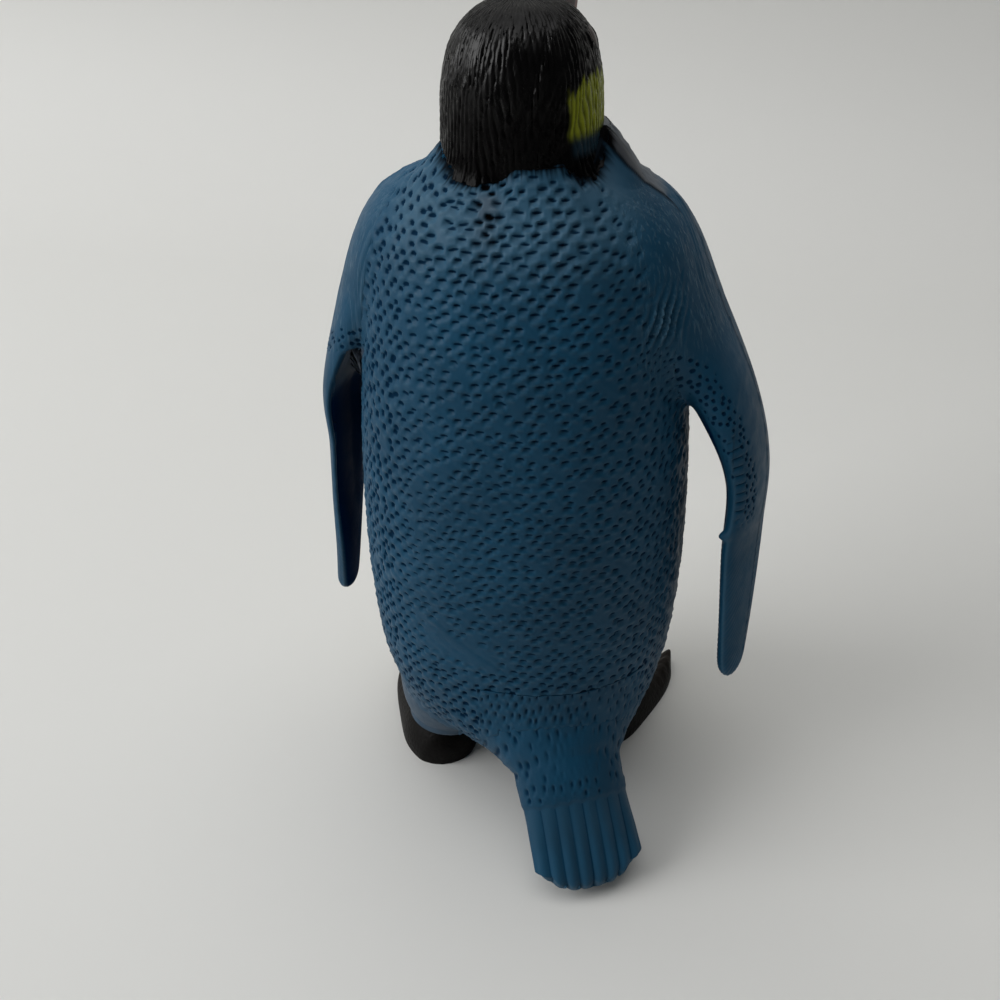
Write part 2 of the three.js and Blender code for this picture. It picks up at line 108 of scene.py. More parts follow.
def linear(hex_colour):
    """An sRGB hex colour as linear red, green and blue, and alpha 1."""
    channels = np.array([int(hex_colour[i : i + 2], 16) for i in (1, 3, 5)]) / 255
    return (*np.where(channels <= 0.04045, channels / 12.92, ((channels + 0.055) / 1.055) ** 2.4), 1.0)


def node(tree, kind, inputs, **settings):
    """Adds a shader node, gives it its settings, and fills its inputs: a socket is linked, and a
    value is set."""
    made = tree.nodes.new("ShaderNode" + kind)
    for name, value in settings.items():
        setattr(made, name, value)
    for name, value in inputs.items():
        if isinstance(value, bpy.types.NodeSocket):
            tree.links.new(value, made.inputs[name])
        else:
            made.inputs[name].default_value = value
    return made


def new_material(name):
    """An empty node material and its tree."""
    material = bpy.data.materials.new(name)
    material.use_nodes = True
    material.node_tree.nodes.clear()
    return material, material.node_tree


def skin_piece(name, grids, material, replaced):
    """Puts grids of points, each a row of rings in body millimetres, into one mesh. A ring closes on
    itself and the first and last rings get a lid, so each skin is closed. Faces are turned outwards
    by the sign of the enclosed volume. Marks are numbers for each point that the material reads."""
    points, faces, marks = [], [], {}
    for grid, grid_marks in grids:
        rows, columns = grid.shape[:2]
        number = np.arange(rows * columns).reshape(rows, columns) + sum(len(p) for p in points)
        onward = np.roll(number, -1, axis=1)
        quads = np.stack([number[:-1], onward[:-1], onward[1:], number[1:]], -1).reshape(-1, 4)
        flat = grid.reshape(-1, 3)
        corners = flat[quads - number[0, 0]]
        volume = np.einsum("ij,ij->", corners[:, 0], np.cross(corners[:, 1], corners[:, 2]))
        volume += np.einsum("ij,ij->", corners[:, 0], np.cross(corners[:, 2], corners[:, 3]))
        lids = [number[0][::-1].tolist(), number[-1].tolist()]
        sheet = quads.tolist() + lids
        faces += sheet if volume > 0 else [face[::-1] for face in sheet]
        points.append(flat)
        for key, values in grid_marks.items():
            marks.setdefault(key, []).append(np.broadcast_to(values, (rows, columns)).ravel())
    place = (np.vstack(points) + AXIS) * MM
    mesh = bpy.data.meshes.new(name)
    mesh.from_pydata(place, [], faces)
    for key, values in marks.items():
        attribute = mesh.attributes.new(key, "FLOAT", "POINT")
        attribute.data.foreach_set("value", np.concatenate(values).astype(np.float32))
    mesh.shade_smooth()
    mesh.set_sharp_from_angle(angle=math.radians(SHARP_DEGREES))
    mesh.materials.append(material)
    piece = bpy.data.objects.new(name, mesh)
    bpy.context.scene.collection.objects.link(piece)
    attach(piece, "root")
    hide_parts(replaced)


def foot_skin(side):
    """Rings across the walking direction: a flat underside and an arched top, with three ridges for
    the toes. Towards the front the ridges run on past the web, which is cut back between them."""
    t, angle = rings(np.linspace(0, len(FOOT) - 1, FOOT_MESH[0]), FOOT_MESH[1])
    along, half_width, height = np.moveaxis(through(FOOT, t), -1, 0)
    across = np.cos(angle)
    upper = np.clip(np.sin(angle), 0, None)
    front = ease(along, 12, 31)
    toes = sum(bell(across - place, TOE_SPREAD) for place in TOE_PLACES)
    arch = height * upper ** (1 - 0.35 * front)
    rise = TOE_RISE * front * toes * ease(upper, 0, 0.35)
    knuckles = 0.12 * np.sin(along * 2.4) * toes * front * ease(upper, 0.1, 0.5)
    z = np.minimum(arch * (1 - 0.25 * front) + rise + knuckles, FOOT_TOP)
    ahead = along + ease(along, 22, 33) * (TOE_REACH * toes - WEB_CUT * (1 - toes))
    x, y = FOOT_HEEL[side]
    flat = np.stack([half_width * across, -ahead, z], -1)
    return turned(flat, FOOT_SPLAY[side]) + [x, y, 0], {"ridge": front * toes * upper}


# Pigmented soft PVC straight from the mould: a black-brown skin with fine leathery scales and a
# satin gloss, rubbed a little paler along the toes.
FOOT_BLACK = "#0b0908"
FOOT_RUBBED = "#28211c"
SCALE_MM = 1.3
GRAIN_MM = 0.35
foot_pvc, tree = new_material("soft_pvc_foot_black")
place = node(tree, "TexCoord", {}).outputs["Object"]
scales = node(
    tree, "TexVoronoi", {"Vector": place, "Scale": 1 / (SCALE_MM * MM)}, feature="DISTANCE_TO_EDGE"
)
grain = node(tree, "TexNoise", {"Vector": place, "Scale": 1 / (GRAIN_MM * MM), "Detail": 3.0})
ridge = node(tree, "Attribute", {}, attribute_name="ridge")
rubbed_and_sheen = node(tree, "Math", {0: ridge.outputs["Fac"], 1: grain.outputs["Fac"]}, operation="MULTIPLY")
tone = node(
    tree, "Mix", {0: rubbed_and_sheen.outputs[0], 6: linear(FOOT_BLACK), 7: linear(FOOT_RUBBED)}, data_type="RGBA"
)
skin = node(tree, "Bump", {"Height": scales.outputs["Distance"], "Strength": 0.35, "Distance": 0.0004})
fine = node(
    tree,
    "Bump",
    {"Height": grain.outputs["Fac"], "Normal": skin.outputs[0], "Strength": 0.2, "Distance": 0.0002},
)
shader = node(
    tree,
    "BsdfPrincipled",
    {
        "Base Color": tone.outputs[2],
        "Roughness": 0.52,
        "IOR": 1.53,
        "Specular IOR Level": 0.1,
        "Normal": fine.outputs[0],
    },
)
node(tree, "OutputMaterial", {"Surface": shader.outputs[0]})
for side in ("left", "right"):
    skin_piece(f"{side}_foot_skin", [foot_skin(side)], foot_pvc, f"{side}_foot")

# Legs: short rounded stubs of the same blue soft PVC as the back, without pits, pushed up under the
# trunk on a peg. Only the left one shows from behind, above its foot.
LEG_MIDDLE = {"left": (15.2, 8.4, 18.8), "right": (-15, 0, 17)}
LEG_HALF = np.array([9.8, 10.0, 10.5])
LEG_FLOOR = 8.9
LEG_BLEND = 4.0
LEG_SWELL = 3
LEG_MESH = (110, 160)
STREAK_COUNT = 40
SWELL_ROUNDS = 16
SLOPE_STEP = 0.2
TRUNK = np.array([
    # height, half width, depth to the back, depth to the front
    [127, 12.6, 11.8, 12.0],
    [123.1, 18.6, 15.0, 14.6],
    [116, 24.0, 19.4, 18.6],
    [103, 26.8, 23.0, 22.6],
    [86, 28.8, 25.8, 27.0],
    [68, 30.0, 27.6, 29.8],
    [50, 30.2, 28.4, 31.0],
    [32, 28.8, 27.6, 29.0],
    [20, 24.4, 23.4, 24.5],
    [13.5, 17.6, 16.0, 18.0],
    [11.5, 8.4, 7.5, 8.5],
])
TRUNK_FULLNESS = 2.25
COLLAR_DRAWN = 4.9
COLLAR_NAPE = 1.9
COLLAR_LEFT = 2.6


def noise(*places):
    """Soft unevenness from -1 to 1: sines of steadily finer waves, each turned by the one before."""
    total = np.zeros(np.broadcast(*places).shape)
    wave = np.array([1.0, 1.7, 2.9, 4.3])
    for k, size in enumerate(wave):
        phase = sum(p * size * (1 + 0.37 * n) + 2.1 * k + n for n, p in enumerate(places))
        total = total + np.sin(phase + 1.3 * total) / size
    return total / (1 / wave).sum()


def fall(x, start, end):
    """1 before start, 0 after end, and a smooth drop between them."""
    return 1 - ease(x, start, end)


def full_oval(stations, fullness, t, angle):
    """A level section at each station t whose radius is that of a full oval: the power sum of its
    shares of the half width and of the depth is 1. The angle runs from the back round to the left."""
    height, width, back, front = np.moveaxis(through(stations, t), -1, 0)
    depth = np.where(np.cos(angle) < 0, front, back)
    side, aft = np.abs(np.sin(angle)) / width, np.abs(np.cos(angle)) / depth
    radius = (side**fullness + aft**fullness) ** (-1 / fullness)
    return np.stack([radius * np.sin(angle), radius * np.cos(angle), height], -1)


def trunk_skin(t, angle):
    """The trunk's full ovals. To both sides of the throat, and a little at the nape, the collar is
    drawn up the turned head."""
    skin = full_oval(TRUNK, TRUNK_FULLNESS, t, angle)
    round_left, round_right = np.degrees(angle) % 360, np.degrees(-angle) % 360
    nape = (round_right + 90) % 360
    drawn = COLLAR_LEFT * ease(round_left, 46, 74) * fall(round_left, 110, 150)
    drawn = drawn + COLLAR_NAPE * ease(nape, 84, 96) * fall(nape, 126, 138)
    right = COLLAR_DRAWN * ease(round_right, 60, 86) * fall(round_right, 125, 160)
    skin[..., 2] += drawn * np.exp(-1.9 * t) + right * bell(t, 0.95)
    return skin


# sizes at finely divided stations, by rising height
TRUNK_TABLE = through(TRUNK, np.linspace(0, len(TRUNK) - 1, 2000))[::-1]


def trunk_share(points):
    """Place of points in the trunk's level section at their height, where 1 is the skin."""
    height, *sizes = TRUNK_TABLE.T
    width, back, front = (np.interp(points[:, 2], height, size) for size in sizes)
    depth = np.where(points[:, 1] < 0, front, back)
    side, aft = np.abs(points[:, 0]) / width, np.abs(points[:, 1]) / depth
    return (side**TRUNK_FULLNESS + aft**TRUNK_FULLNESS) ** (1 / TRUNK_FULLNESS)


def trunk_distance(points):
    """Distance from points to the trunk's plain skin: the place in its section less 1, over how fast
    that grows in the three directions."""
    steps = np.eye(3) * SLOPE_STEP
    growth = [(trunk_share(points + s) - trunk_share(points - s)) / (2 * SLOPE_STEP) for s in steps]
    return (trunk_share(points) - 1) / (np.linalg.norm(growth, axis=0) + 1e-6)


def swell(points, normal, own, other, blend, limit, let_in=0.8):
    """How far a skin moves out to lie on the rounded union with another body: it moves until the
    lesser of its two distances, less up to a quarter of the blend where they are alike, is 0. Where
    the other body is the nearer one the skin is let in, and further on it goes back to its own place,
    so that only one of them shows."""
    lift = np.zeros(len(points))
    near = other(points) < blend.max() + 1
    place, way, rounding = points[near], normal[near], blend[near]
    rise = np.zeros(len(place))
    for _ in range(SWELL_ROUNDS):
        spot = place + way * rise[:, None]
        mine, its = own(spot), other(spot)
        alike = np.clip(1 - np.abs(mine - its) / rounding, 0, 1)
        rise = np.clip(rise - 0.8 * (np.minimum(mine, its) - rounding / 4 * alike**2), 0, limit)
    lift[near] = rise * fall(mine - its, 3.0, 6.0) - let_in * ease(mine - its, 0.0, 1.1)
    return lift


def swollen(grid, normal, own, other, blend, limit, share=1.0):
    """A grid moved along its normals by a share of the swell to its union with another body."""
    blend, share = (np.broadcast_to(v, grid.shape[:2]).ravel() for v in (blend, share))
    flat, way = grid.reshape(-1, 3), normal.reshape(-1, 3)
    lift = swell(flat, way, own, other, blend, limit) * share
    return (flat + way * lift[:, None]).reshape(grid.shape)


def outward(grid, wrap):
    """Unit normals of a grid of points, from the cross product of its steps along and across."""
    along = np.gradient(grid, axis=0)
    if wrap:
        across = np.roll(grid, -1, axis=1) - np.roll(grid, 1, axis=1)
    else:
        across = np.gradient(grid, axis=1)
    normal = np.cross(across, along)
    return normal / (np.linalg.norm(normal, axis=-1, keepdims=True) + 1e-9)


def away_from(normal, vector):
    """Normals turned to the side that a vector at each point shows."""
    return normal * np.where(np.einsum("ijk,ijk->ij", normal, vector) < 0, -1, 1)[..., None]


def leg_distance(points, side):
    """Distance from points to a leg's egg."""
    place = (points - LEG_MIDDLE[side]) / LEG_HALF
    share = np.linalg.norm(place, axis=-1) + 1e-6
    growth = np.linalg.norm(place / LEG_HALF, axis=-1) / share + 1e-6
    return (share - 1) / growth


def leg_skin(side):
    """An egg with faint streaks running down it, swollen where it meets the trunk and cut flat where
    it stands on the foot."""
    down, angle = rings(np.linspace(0.02, np.pi - 0.02, LEG_MESH[0]), LEG_MESH[1])
    streaks = 1 + 0.004 * np.sin(angle * STREAK_COUNT + 3 * noise(down * 2, angle * 2))
    ring = np.sin(down) * streaks
    egg = np.stack([ring * np.cos(angle), ring * np.sin(angle), np.cos(down)], -1) * LEG_HALF
    normal = away_from(outward(egg, True), egg)
    egg = egg + LEG_MIDDLE[side]
    egg = swollen(egg, normal, lambda p: leg_distance(p, side), trunk_distance, LEG_BLEND, LEG_SWELL)
    egg[..., 2] = np.maximum(egg[..., 2], LEG_FLOOR)
    return egg, {"dust": 0.42}


# Soft PVC in mass blue: dull and slightly waxy, darker in the pits with dirt and painted shade,
# with a cloudy drift of tone over the back and a hair-fine mould grain. Wear shows as paler, greyer
# edges. Painted highlight lightens the lips under the pits, the fold crests, the streak ridges and a
# band below the neck, and painted shade turns the shaded inner faces of the flippers and the
# recess under the left arm navy.
BLUE = "#124764"
BLUE_PIT_DIRT_AND_SHADE = "#07243c"
BLUE_CLOUD = "#0f3e58"
BLUE_WORN_AND_LIT = "#46687d"
INNER_SHADE_NAVY = "#032344"
SMUDGE_BLACK = "#070607"
DUST = "#56585c"
PIT_EDGE = (0.3, 0.75)
PIT_SHADE = 0.95
SHEEN = 0.18
PLASTIC_IOR = 1.5
DIRT_AND_SHADE_IOR = 1.08
STREAK_MM = (0.6, 0.6, 9.0)
STREAK_EDGE = (0.52, 0.72)
CLOUD_MM = 17
FINE_MM = 0.22
UNEVEN_MM = 2.6
blue_pvc, tree = new_material("soft_pvc_blue")
place = node(tree, "TexCoord", {}).outputs["Object"]
cloud = node(tree, "TexNoise", {"Vector": place, "Scale": 1 / (CLOUD_MM * MM), "Detail": 4.0})
uneven = node(tree, "TexNoise", {"Vector": place, "Scale": 1 / (UNEVEN_MM * MM), "Detail": 2.0})
fine = node(tree, "TexNoise", {"Vector": place, "Scale": 1 / (FINE_MM * MM), "Detail": 2.0})
drift = node(tree, "MapRange", {"Value": cloud.outputs["Fac"], "From Min": 0.35, "From Max": 0.65})
cloudy = {0: drift.outputs[0], 6: linear(BLUE), 7: linear(BLUE_CLOUD)}
tone = node(tree, "Mix", cloudy, data_type="RGBA").outputs[2]
# Fine streaks down the shoulders and upper arms: raised by bump and painted paler along their ridges as
# painted highlight.
stretch = node(tree, "Mapping", {"Vector": place, "Scale": [1 / (mm * MM) for mm in STREAK_MM]})
streak = node(tree, "TexNoise", {"Vector": stretch.outputs[0], "Scale": 1.0, "Detail": 2.0})
streaky = node(tree, "Attribute", {}, attribute_name="streak").outputs["Fac"]
low, high = STREAK_EDGE
cut = {"Value": streak.outputs["Fac"], "From Min": low, "From Max": high, "To Max": streaky}
lit_streaks = node(tree, "MapRange", cut).outputs[0]
tone = node(tree, "Mix", {0: lit_streaks, 6: tone, 7: linear(BLUE_WORN_AND_LIT)}, data_type="RGBA").outputs[2]
bend = PLASTIC_IOR
# The paler blue is partly wear and partly painted highlight, the pit colour is dirt and painted shade, and
# the navy is painted shade on faces that lie in shadow.
for key, colour in (
    ("wear_and_highlight", BLUE_WORN_AND_LIT),
    ("pit_dirt_and_shade", BLUE_PIT_DIRT_AND_SHADE),
    ("inner_shade", INNER_SHADE_NAVY),
    ("dust", DUST),
    ("smudge", SMUDGE_BLACK),
):
    amount = node(tree, "Attribute", {}, attribute_name=key).outputs["Fac"]
    if key == "pit_dirt_and_shade":
        edge = {"Value": amount, "From Min": PIT_EDGE[0], "From Max": PIT_EDGE[1], "To Max": PIT_SHADE}
        amount = node(tree, "MapRange", edge, interpolation_type="SMOOTHSTEP").outputs[0]
    # Where dirt, painted shade or smudge lies, the IOR drops to take off the shine.
    if key in ("pit_dirt_and_shade", "inner_shade", "smudge"):
        bend = node(tree, "Mix", {0: amount, 2: bend, 3: DIRT_AND_SHADE_IOR}).outputs[0]
    tone = node(tree, "Mix", {0: amount, 6: tone, 7: linear(colour)}, data_type="RGBA").outputs[2]
gloss = node(
    tree,
    "MapRange",
    {"Value": uneven.outputs["Fac"], "From Min": 0.3, "From Max": 0.7, "To Min": 0.44, "To Max": 0.6},
)
swell_bump = node(tree, "Bump", {"Height": uneven.outputs["Fac"], "Strength": 0.25, "Distance": 0.0004})
grain_bump = node(
    tree,
    "Bump",
    {"Height": fine.outputs["Fac"], "Normal": swell_bump.outputs[0], "Strength": 0.16, "Distance": 0.0001},
)
streak_bump = node(
    tree,
    "Bump",
    {"Height": lit_streaks, "Normal": grain_bump.outputs[0], "Strength": 0.5, "Distance": 0.0003},
)
shader = node(
    tree,
    "BsdfPrincipled",
    {
        "Base Color": tone,
        "Roughness": gloss.outputs[0],
        "IOR": bend,
        "Specular IOR Level": SHEEN,
        "Normal": streak_bump.outputs[0],
    },
)
node(tree, "OutputMaterial", {"Surface": shader.outputs[0]})
for side in ("left", "right"):
    skin_piece(f"{side}_leg_skin", [leg_skin(side)], blue_pvc, f"{side}_leg")

# Flippers: flat blades of blue soft PVC, broad at the shoulder, trapped by a peg between the trunk
# shells. The right one hangs further back and out. A band of round pits crosses each at the elbow.
FLIPPER = {
    # out, forward, up, chord, thickness, degrees that the rear edge is turned in, all as if it were a
    # left one hung straight
    "left": np.array([
        [12.2, -2.0, 121.0, 15.0, 6.6, 4.0],
        [21.3, -2.5, 116.0, 23.0, 10.8, 4.0],
        [26.8, -3.0, 103.0, 25.0, 12.0, 4.0],
        [34.0, -4.0, 87.0, 25.2, 7.0, 3.0],
        [35.6, -5.0, 74.0, 23.0, 5.6, 3.6],
        [37.3, -4.8, 60.2, 20.6, 4.8, 5.6],
        [38.2, -3.0, 46.9, 14.8, 4.4, 7.2],
        [39.0, -2.0, 38.3, 9.7, 4.2, 7.4],
        [39.4, -1.2, 34.7, 6.5, 3.6, 7.4],
    ]),
    "right": np.array([
        [12.2, -2.0, 121.4, 15.0, 6.6, 14.0],
        [20.4, -2.5, 114.8, 23.0, 10.8, 14.0],
        [26.0, -3.0, 102.8, 25.0, 12.0, 14.0],
        [34.1, -3.5, 87.0, 22.9, 9.6, 9.0],
        [38.1, -4.0, 74.0, 19.8, 6.4, 13.6],
        [37.9, -4.0, 59.8, 18.4, 5.0, 18.3],
        [37.5, -3.0, 45.8, 14.6, 4.4, 18.9],
        [37.0, -2.0, 36.2, 9.8, 4.2, 19.4],
        [36.8, -1.2, 31.5, 6.5, 3.6, 19.4],
    ]),
}
LAST_STATION = 8
LINE_POINTS = 161
FLIPPER_PIVOT = np.array([24.0, 0.0, 108.0])
RIGHT_SWING = 9
RIGHT_SPREAD = 3.5
swing, spread = math.radians(RIGHT_SWING), math.radians(-RIGHT_SPREAD)
RIGHT_CARRIED = np.array(Matrix.Rotation(spread, 3, "Y") @ Matrix.Rotation(swing, 3, "X"))
ARM_BLEND = {
    # heights, rounding of the corner between arm and trunk
    "left": ([70, 96, 112], [1.0, 1.6, 4.0]),
    "right": ([82, 90, 104], [1.5, 2.5, 8.0]),
}


def flipper_frame(t, side):
    """Middle, chord and thickness directions and half sizes of the blade at stations t. The chord
    lies level, turned by the twist, and the thickness is square to it and to the path."""
    here = through(FLIPPER[side], t)
    twist = np.radians(here[..., 5])
    chord_way = np.stack([-np.sin(twist), np.cos(twist), 0 * twist], -1)
    after, before = np.minimum(t + 0.01, LAST_STATION), np.maximum(t - 0.01, 0)
    run = through(FLIPPER[side], after) - through(FLIPPER[side], before)
    thick_way = np.cross(chord_way, run[..., :3])
    thick_way /= np.linalg.norm(thick_way, axis=-1, keepdims=True)
    return here[..., :3], chord_way, thick_way, here[..., 3] / 2, here[..., 4] / 2


def carried(points, side):
    """Points of the straight left flipper taken to their side: the right one is swung and spread
    about the shoulder and mirrored."""
    if side == "left":
        return points
    return ((points - FLIPPER_PIVOT) @ RIGHT_CARRIED.T + FLIPPER_PIVOT) * [-1, 1, 1]


def oval_distance(along, up, half_along, half_up):
    """Distance to an oval: the place in it, where 1 is its edge, less 1, over how fast that grows."""
    share = np.hypot(along / half_along, up / half_up) + 1e-6
    growth = np.hypot(along / half_along**2, up / half_up**2) / share + 1e-6
    return (share - 1) / growth


def nearest_station(points, line, last):
    """The station whose place on a finely divided line lies nearest to each point, refined by how far
    the point lies ahead of that place along the line, and how far the point lies before its start."""
    apart = (line**2).sum(1) - 2 * points @ line.T
    first = np.clip(np.argmin(apart, axis=1), 1, len(line) - 2)
    run = (line[first + 1] - line[first - 1]) / 2
    ahead = np.einsum("pj,pj->p", points - line[first], run) / np.einsum("pj,pj->p", run, run)
    before = (line[0] - points) @ (line[1] - line[0]) / np.linalg.norm(line[1] - line[0])
    return np.clip((first + np.clip(ahead, -1, 1)) * last / (len(line) - 1), 0, last), before


def flipper_distance(points, side):
    """Distance from points to a flipper's plain skin, below 0 inside it. The points are taken back to
    the straight left flipper and measured in the oval of their nearest station."""
    if side == "right":
        points = (points * [-1, 1, 1] - FLIPPER_PIVOT) @ RIGHT_CARRIED + FLIPPER_PIVOT
    line = through(FLIPPER[side], np.linspace(0, LAST_STATION, LINE_POINTS))[:, :3]
    station, before = nearest_station(points, line, LAST_STATION)
    middle, chord_way, thick_way, half_chord, half_thick = flipper_frame(station, side)
    offset = points - middle
    along = np.einsum("pj,pj->p", offset, chord_way)
    up = np.einsum("pj,pj->p", offset, thick_way)
    return np.maximum(oval_distance(along, up, half_chord, half_thick), before)


def pits(u, v, pitch, half, seed, lean=0.0, tilt=0.5, wall=0.7, dash=0.24, lie=0.45):
    """Relief of staggered scoops, 1 at the bottom of the deepest and below 0 on the raised lip under
    each, and the dash of shade under their upper edges. On a lattice of rows, each scoop's middle,
    size, tilt and depth are shifted by chance. A scoop drops under its flat upper edge, shallows
    downwards, and is rounded off to both sides. The dash is as tall as its number of millimetres, and
    lies as far up the scoop as its share says."""
    chance = np.random.default_rng(seed).random((PIT_CHANCES, PIT_CHANCES, 6))
    row = np.floor(v / pitch[1]).astype(int)
    deepest = np.zeros(np.broadcast(u, v).shape)
    highest = np.zeros_like(deepest)
    shade = np.zeros_like(deepest)
    for down in (-1, 0, 1):
        stagger = 0.5 * ((row + down) % 2)
        column = np.floor(u / pitch[0] - stagger).astype(int)
        for over in (-1, 0, 1):
            luck = chance[(row + down) % PIT_CHANCES, (column + over) % PIT_CHANCES]
            du = u - (column + over + stagger + 0.5 + 0.45 * (luck[..., 0] - 0.5)) * pitch[0]
            dv = v - (row + down + 0.5 + 0.7 * (luck[..., 1] - 0.5)) * pitch[1]
            size = 0.78 + 0.4 * luck[..., 2]
            turn = lean + tilt * (luck[..., 3] - 0.5)
            x = (du + dv * turn) / (half[0] * size)
            y = (dv - du * turn) / (half[1] * size) + 0.15 * x * x
            sides = np.clip(1 - x * x, 0, 1)
            drop = np.clip((1 - y) / wall, 0, 1)
            scoop = sides * drop * drop * (3 - 2 * drop) * np.clip((y + 1) / 1.6, 0, 1)
            there = (luck[..., 5] > 0.05) * (0.65 + 0.45 * luck[..., 4])
            deepest = np.maximum(deepest, scoop * there)
            highest = np.maximum(highest, sides * bell(y + 1.2, 0.4) * (there > 0))
            band = bell((y - lie) * half[1] * size, dash)
            shade = np.maximum(shade, sides**0.5 * band * np.clip(there * 1.6, 0, 1))
    return deepest - LIP * highest * (1 - deepest), shade


def run_along(line):
    """How far each point of a line lies from its start, along it."""
    return np.concatenate([[0], np.cumsum(np.linalg.norm(np.diff(line, axis=0), axis=1))])


def even_stations(fine, line, spacing):
    """Stations at even spacing along a line whose points belong to fine stations, and their run."""
    run = run_along(line)
    wanted = np.linspace(0, run[-1], int(run[-1] / spacing) + 1)
    return np.interp(wanted, run, fine), wanted


PIT_CHANCES = 64
LIP = 0.22
FLIPPER_MESH = 0.34
FLIPPER_RING = 176
FLIPPER_SWELL = 6
TIP_STATION = 7
ELBOW_PIT = 0.5
STREAK_DEPTH = 0.16
WRINKLE_DEPTH = 0.6
TICK_DEPTH = 0.25
HATCH_DEPTH = 0.05
FLASH = 0.2
NUB_STATION = 4.69
BLADE_LEDGE = 1.3
MOULD_SEAM = 1.47 * math.pi
FOLD_SPACING = 1.45
FOLD_REACH = (4.0, 3.0)
FOLD_PLACE = np.array([-23.9, 12.4, 106.8])
FOLD_WAY = np.array([-0.705, -0.557, -0.44])
INNER_RIM = {"left": 0.1, "right": 1.6}
ELBOW_PITS = (
    # pitch, half sizes, seed
    (1.5, 1.25),
    (0.46, 0.44),
    11,
)
ARM_BAND = np.array([[-22.0, 14.8, 102.0], [-28.5, 11.2, 97.2]])
ELBOW_SLANT = 0.044
PIT_BAND = (
    # stations of the right flipper, millimetres out from its rear edge
    [2.1, 2.3, 2.54, 2.96, 3.69, 4.16, 4.6],
    [-4.0, -2.0, 0.8, 1.5, 2.2, 3.0, 3.4],
)


def arm_streaks(across, down):
    """Fine ridges that run down an arm in short lengths: a sine across it, shifted and cut by noise."""
    ridges = np.sin(across * 4.4 + 2.2 * noise(down / 9, across / 3))
    return ridges * np.clip(noise(down / 6 + 9, across / 2), 0, 1)


def armpit_folds(grid):
    """A few raised folds behind the right shoulder: waves across the skin, slanted as they go down,
    that fade within a few millimetres of one place."""
    off = np.linalg.norm(grid - FOLD_PLACE, axis=-1)
    across = (grid - FOLD_PLACE) @ FOLD_WAY
    waves = np.sin(across * 2 * np.pi / FOLD_SPACING + 1.6 * noise(across / 3, grid[..., 2] / 3))
    reach = (off**2 - across**2) / FOLD_REACH[0] ** 2 + across**2 / FOLD_REACH[1] ** 2
    return WRINKLE_DEPTH * waves * np.exp(-reach)


